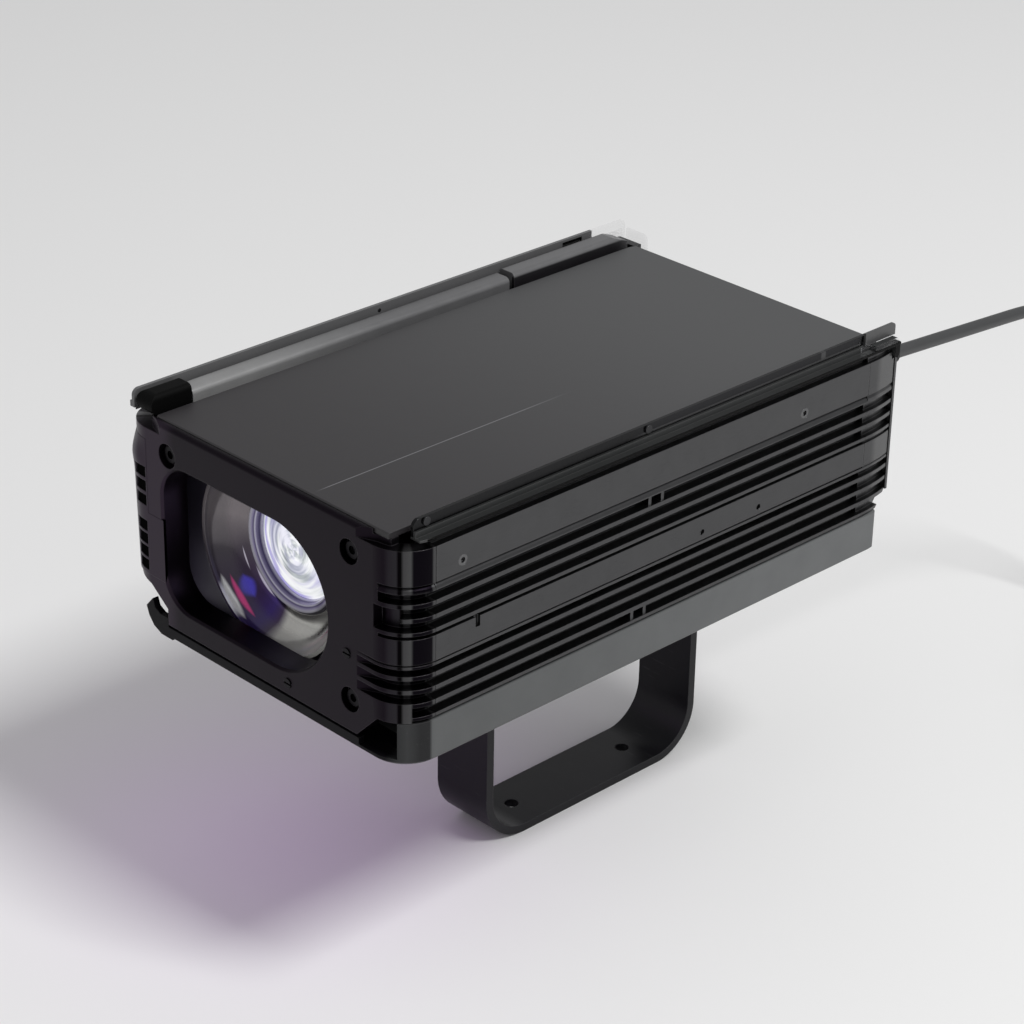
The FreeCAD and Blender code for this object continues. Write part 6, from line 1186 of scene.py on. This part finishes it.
@dataclass
class MainsLead:
    """The mains lead: out of its gland, down to the floor and into a tied coil that ends in a plug.

    Attributes:
        diameter: the lead's thickness.
        exit: where it leaves the gland.
        fall: the route's corners from the gland to the floor.
        landing: where it meets the floor, and where the coil's first straight ends.
        coil_centre: the coil's middle.
        turns: how many turns the coil has.
        mid_r: the turns' mean radius.
        pitch: how much the radius changes in a turn.
        lift: how far the upper layer lies above the lower.
        tail: straight length between the coil and the plug.
        length: the lead's whole length; not used.
        tie_half: half the tie's width and height round the turns.
        tie_z: the height of its middle.
        tie_w: the strap's width.
        tie_t: the strap's thickness.
        tie_turn: its place round the coil, in degrees from +X.
    """

    diameter: float = 6.0 * MM
    exit: Point = mm(60.0, 139.7, 195.5)
    fall: tuple[Point, ...] = (
        mm(60.0, 200.0, 190.9), mm(60.0, 254.0, 186.8), mm(60.2, 290.0, 173.0), mm(60.5, 313.5, 144.0),
        mm(62.0, 321.0, 102.05), mm(64.0, 321.0, 60.02), mm(71.0, 317.0, 24.05))
    landing: tuple[Point, ...] = (mm(93.0, 310.06, 3.0), mm(126.0, 310.06, 3.0))
    coil_centre: Span = mm(132.0, 268.0)
    turns: float = 5.25
    mid_r: float = 33.0 * MM
    pitch: float = 6.9 * MM
    lift: float = 6.7 * MM
    tail: float = 16.0 * MM
    length: float = 1.48
    tie_half: Span = mm(13.6, 7.0)
    tie_z: float = 7.05 * MM
    tie_w: float = 10.0 * MM
    tie_t: float = 0.8 * MM
    tie_turn: float = 150.0

    POINTS_A_TURN = 16
    CLIMB_TURNS = 0.5
    TAIL_SHARES = (0.5, 1.0)
    SPLINE_ORDER = 3
    BEVEL_STEPS = 5
    CURVE_STEPS = 10
    TIE_GRID = (64, 5)
    TIE_POWER = 0.45

    def coil_radius(self, turn: np.ndarray) -> np.ndarray:
        """The coil's radius by turn: it shrinks evenly to the middle of the winding and grows again."""
        return self.mid_r + self.pitch * (np.abs(turn - self.turns / 2) - self.turns / 4)

    def coil_points(self) -> np.ndarray:
        """The coil's control points.

        The turn runs clockwise from +Y. The height climbs by a half cosine over part of a turn at the middle
        of the winding. The radius is divided by the share at which a quadratic spline runs inside its
        control points.

        Returns:
            Places with shape (points, 3).
        """
        turn = np.linspace(0, self.turns, round(self.turns * self.POINTS_A_TURN) + 1)
        inside = math.cos(math.pi / self.POINTS_A_TURN)
        radius = self.coil_radius(turn) / inside
        angle = math.pi / 2 - math.tau * turn
        climb = np.clip((turn - self.turns / 2) / self.CLIMB_TURNS + 0.5, 0, 1)
        height = self.diameter / 2 + self.lift * (1 - np.cos(math.pi * climb)) / 2
        x, y = self.coil_centre
        return np.stack([x + radius * np.cos(angle), y + radius * np.sin(angle), height], axis=1)

    def route(self) -> np.ndarray:
        """Every control point of the lead, from the gland to the plug.

        Returns:
            Places with shape (points, 3).
        """
        coil = self.coil_points()
        end_x = self.coil_centre[0] + self.coil_radius(np.array(self.turns))
        height = coil[-1, 2]
        ends = [(end_x, self.coil_centre[1] - self.tail * share, height) for share in self.TAIL_SHARES]
        return np.vstack([[self.exit], self.fall, self.landing, coil, ends])

    def build(self) -> None:
        """Draws the lead as one spline with its tie."""
        curve = bpy.data.curves.new("mains_lead", "CURVE")
        curve.dimensions = "3D"
        curve.bevel_depth = self.diameter / 2
        curve.bevel_resolution = self.BEVEL_STEPS
        curve.resolution_u = self.CURVE_STEPS
        curve.use_fill_caps = True
        spline = curve.splines.new("NURBS")
        points = self.route()
        spline.points.add(len(points) - 1)
        spline.points.foreach_set("co", np.hstack([points, np.ones((len(points), 1))]).ravel())
        spline.order_u = self.SPLINE_ORDER
        spline.use_endpoint_u = True
        lead = add_piece("mains_lead", curve, Finishes.FLEX)
        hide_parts("mains_cord", "cord_coil")
        self.tie()

    def tie(self) -> bpy.types.Object:
        """The strap round the coil: a loop about the turns' section, carried across the strap's width.

        The loop is a superellipse in radius and height, and the strap is thickened inwards from it.

        Returns:
            The strap.
        """
        angle = np.linspace(0, math.tau, self.TIE_GRID[0], endpoint=False)
        across = np.linspace(-self.tie_w / 2, self.tie_w / 2, self.TIE_GRID[1])
        out, up = (half * np.sign(way) * np.abs(way) ** self.TIE_POWER
                   for half, way in zip(self.tie_half, (np.cos(angle), np.sin(angle))))
        place = math.radians(self.tie_turn)
        along = np.array([math.cos(place), math.sin(place)])
        side = np.array([-math.sin(place), math.cos(place)])
        flat = np.array(self.coil_centre) + (self.mid_r + out)[:, None, None] * along + across[:, None] * side
        height = np.broadcast_to((self.tie_z + up)[:, None, None], (*flat.shape[:2], 1))
        mesh = grid_mesh("coil_tie", np.concatenate([flat, height], axis=2), wrap=True)
        return thicken(add_piece("coil_tie", mesh, Finishes.STRAP), self.tie_t)

    def dress(self) -> None:
        """Gives the plug and the cord's solids their finishes."""
        dress(Finishes.PLASTIC, "mains_plug")
        dress(Finishes.FLEX, "mains_cord", "cord_coil")


@dataclass(frozen=True)
class Lamp:
    """A square area lamp.

    Attributes:
        name: its name.
        place: where it hangs.
        aim: the point that it looks at.
        size: its side.
        power: its power in watts.
        colour: its colour.
    """

    name: str
    place: Point
    aim: Point
    size: float
    power: float
    colour: Colour = grey(1.0)

    def hang(self) -> None:
        """Puts the lamp into the scene, turned to its aim."""
        data = bpy.data.lights.new(self.name, "AREA")
        data.size = self.size
        data.energy = self.power
        data.color = self.colour
        way = Vector(self.aim) - Vector(self.place)
        turn = way.to_track_quat("-Z", "Y").to_matrix().to_4x4()
        put_in(self.name, data).matrix_world = Matrix.Translation(self.place) @ turn


@dataclass
class Studio:
    """The floor, lamps, surroundings and camera.

    Attributes:
        azimuth: the camera's turn about +Z, from the front towards the right.
        elevation: its angle above the floor.
        roll: its tilt about its own axis.
        distance: how far it stands from its target.
        lens: its focal length in millimetres on its sensor.
        sensor: the sensor's width in millimetres.
    """

    azimuth: float = math.radians(45.649)
    elevation: float = math.radians(26.925)
    roll: float = math.radians(1.04)
    distance: float = 1283.37 * MM
    lens: float = 104.28
    sensor: float = 36.0

    TARGET = mm(-2.35, -36.7, 151.9)
    CLIP_END = 100.0
    FLOOR_R = 14.0
    FLOOR_POINTS = 9
    FLOOR_COLOUR = (0.82, 0.82, 0.815)
    FLOOR_ROUGHNESS = 0.9
    FLOOR_SPECULAR = 0.1
    WORLD_COLOUR = (0.80, 0.80, 0.81)
    WORLD_LIGHT = 0.60
    LAMPS = (
        Lamp("key", (1.80, 0.30, 2.80), TARGET, 0.85, 72.0),
        Lamp("lens_glow", (-0.05, -0.13, 0.10), (-0.055, -0.13, 0.0), 0.16, 0.022, (0.70, 0.10, 1.0)))

    def camera(self) -> None:
        """Places the camera: back, right and up directions from its angles, then the roll."""
        data = bpy.data.cameras.new("camera")
        data.lens = self.lens
        data.sensor_width = self.sensor
        data.clip_end = self.CLIP_END
        camera = put_in("camera", data)
        sine, cosine, flat = math.sin(self.azimuth), math.cos(self.azimuth), math.cos(self.elevation)
        back = Vector((sine * flat, -cosine * flat, math.sin(self.elevation)))
        right = Vector((cosine, sine, 0.0))
        level = Matrix((right, back.cross(right), back)).transposed()
        turned = level @ Matrix.Rotation(self.roll, 3, "Z")
        place = Vector(self.TARGET) + back * self.distance
        camera.matrix_world = Matrix.Translation(place) @ turned.to_4x4()
        bpy.context.scene.camera = camera

    def floor(self) -> None:
        """A wide pale sheet: a square grid at height 0."""
        side = np.linspace(-self.FLOOR_R, self.FLOOR_R, self.FLOOR_POINTS)
        x, y = np.meshgrid(side, side)
        mesh = grid_mesh("floor", np.stack([x, y, np.zeros_like(x)], axis=2))
        material = bpy.data.materials.new("pale_floor")
        material.use_nodes = True
        shader = material.node_tree.nodes["Principled BSDF"].inputs
        shader["Base Color"].default_value = (*self.FLOOR_COLOUR, 1.0)
        shader["Roughness"].default_value = self.FLOOR_ROUGHNESS
        shader["Specular IOR Level"].default_value = self.FLOOR_SPECULAR
        mesh.materials.append(material)
        put_in("floor", mesh)

    def build(self) -> None:
        """Sets up the whole studio."""
        bpy.context.scene.view_settings.view_transform = "Standard"
        world = bpy.data.worlds.new("surroundings")
        world.use_nodes = True
        background = world.node_tree.nodes["Background"].inputs
        background["Color"].default_value = (*self.WORLD_COLOUR, 1.0)
        background["Strength"].default_value = self.WORLD_LIGHT
        bpy.context.scene.world = world
        self.camera()
        self.floor()
        for lamp in self.LAMPS:
            lamp.hang()


def main() -> None:
    """Builds and dresses the projector in its studio."""
    logging.basicConfig(level=logging.INFO, format="%(message)s")
    Studio().build()
    lead = MainsLead()
    lead.build()
    lead.dress()
    shell, lid = Shell(), Lid()
    shell.rib()
    shell.strip()
    lid.tab()
    for assembly in (shell, lid, Optics(), Works(), Yoke()):
        assembly.dress()


if __name__ == "__main__":
    main()
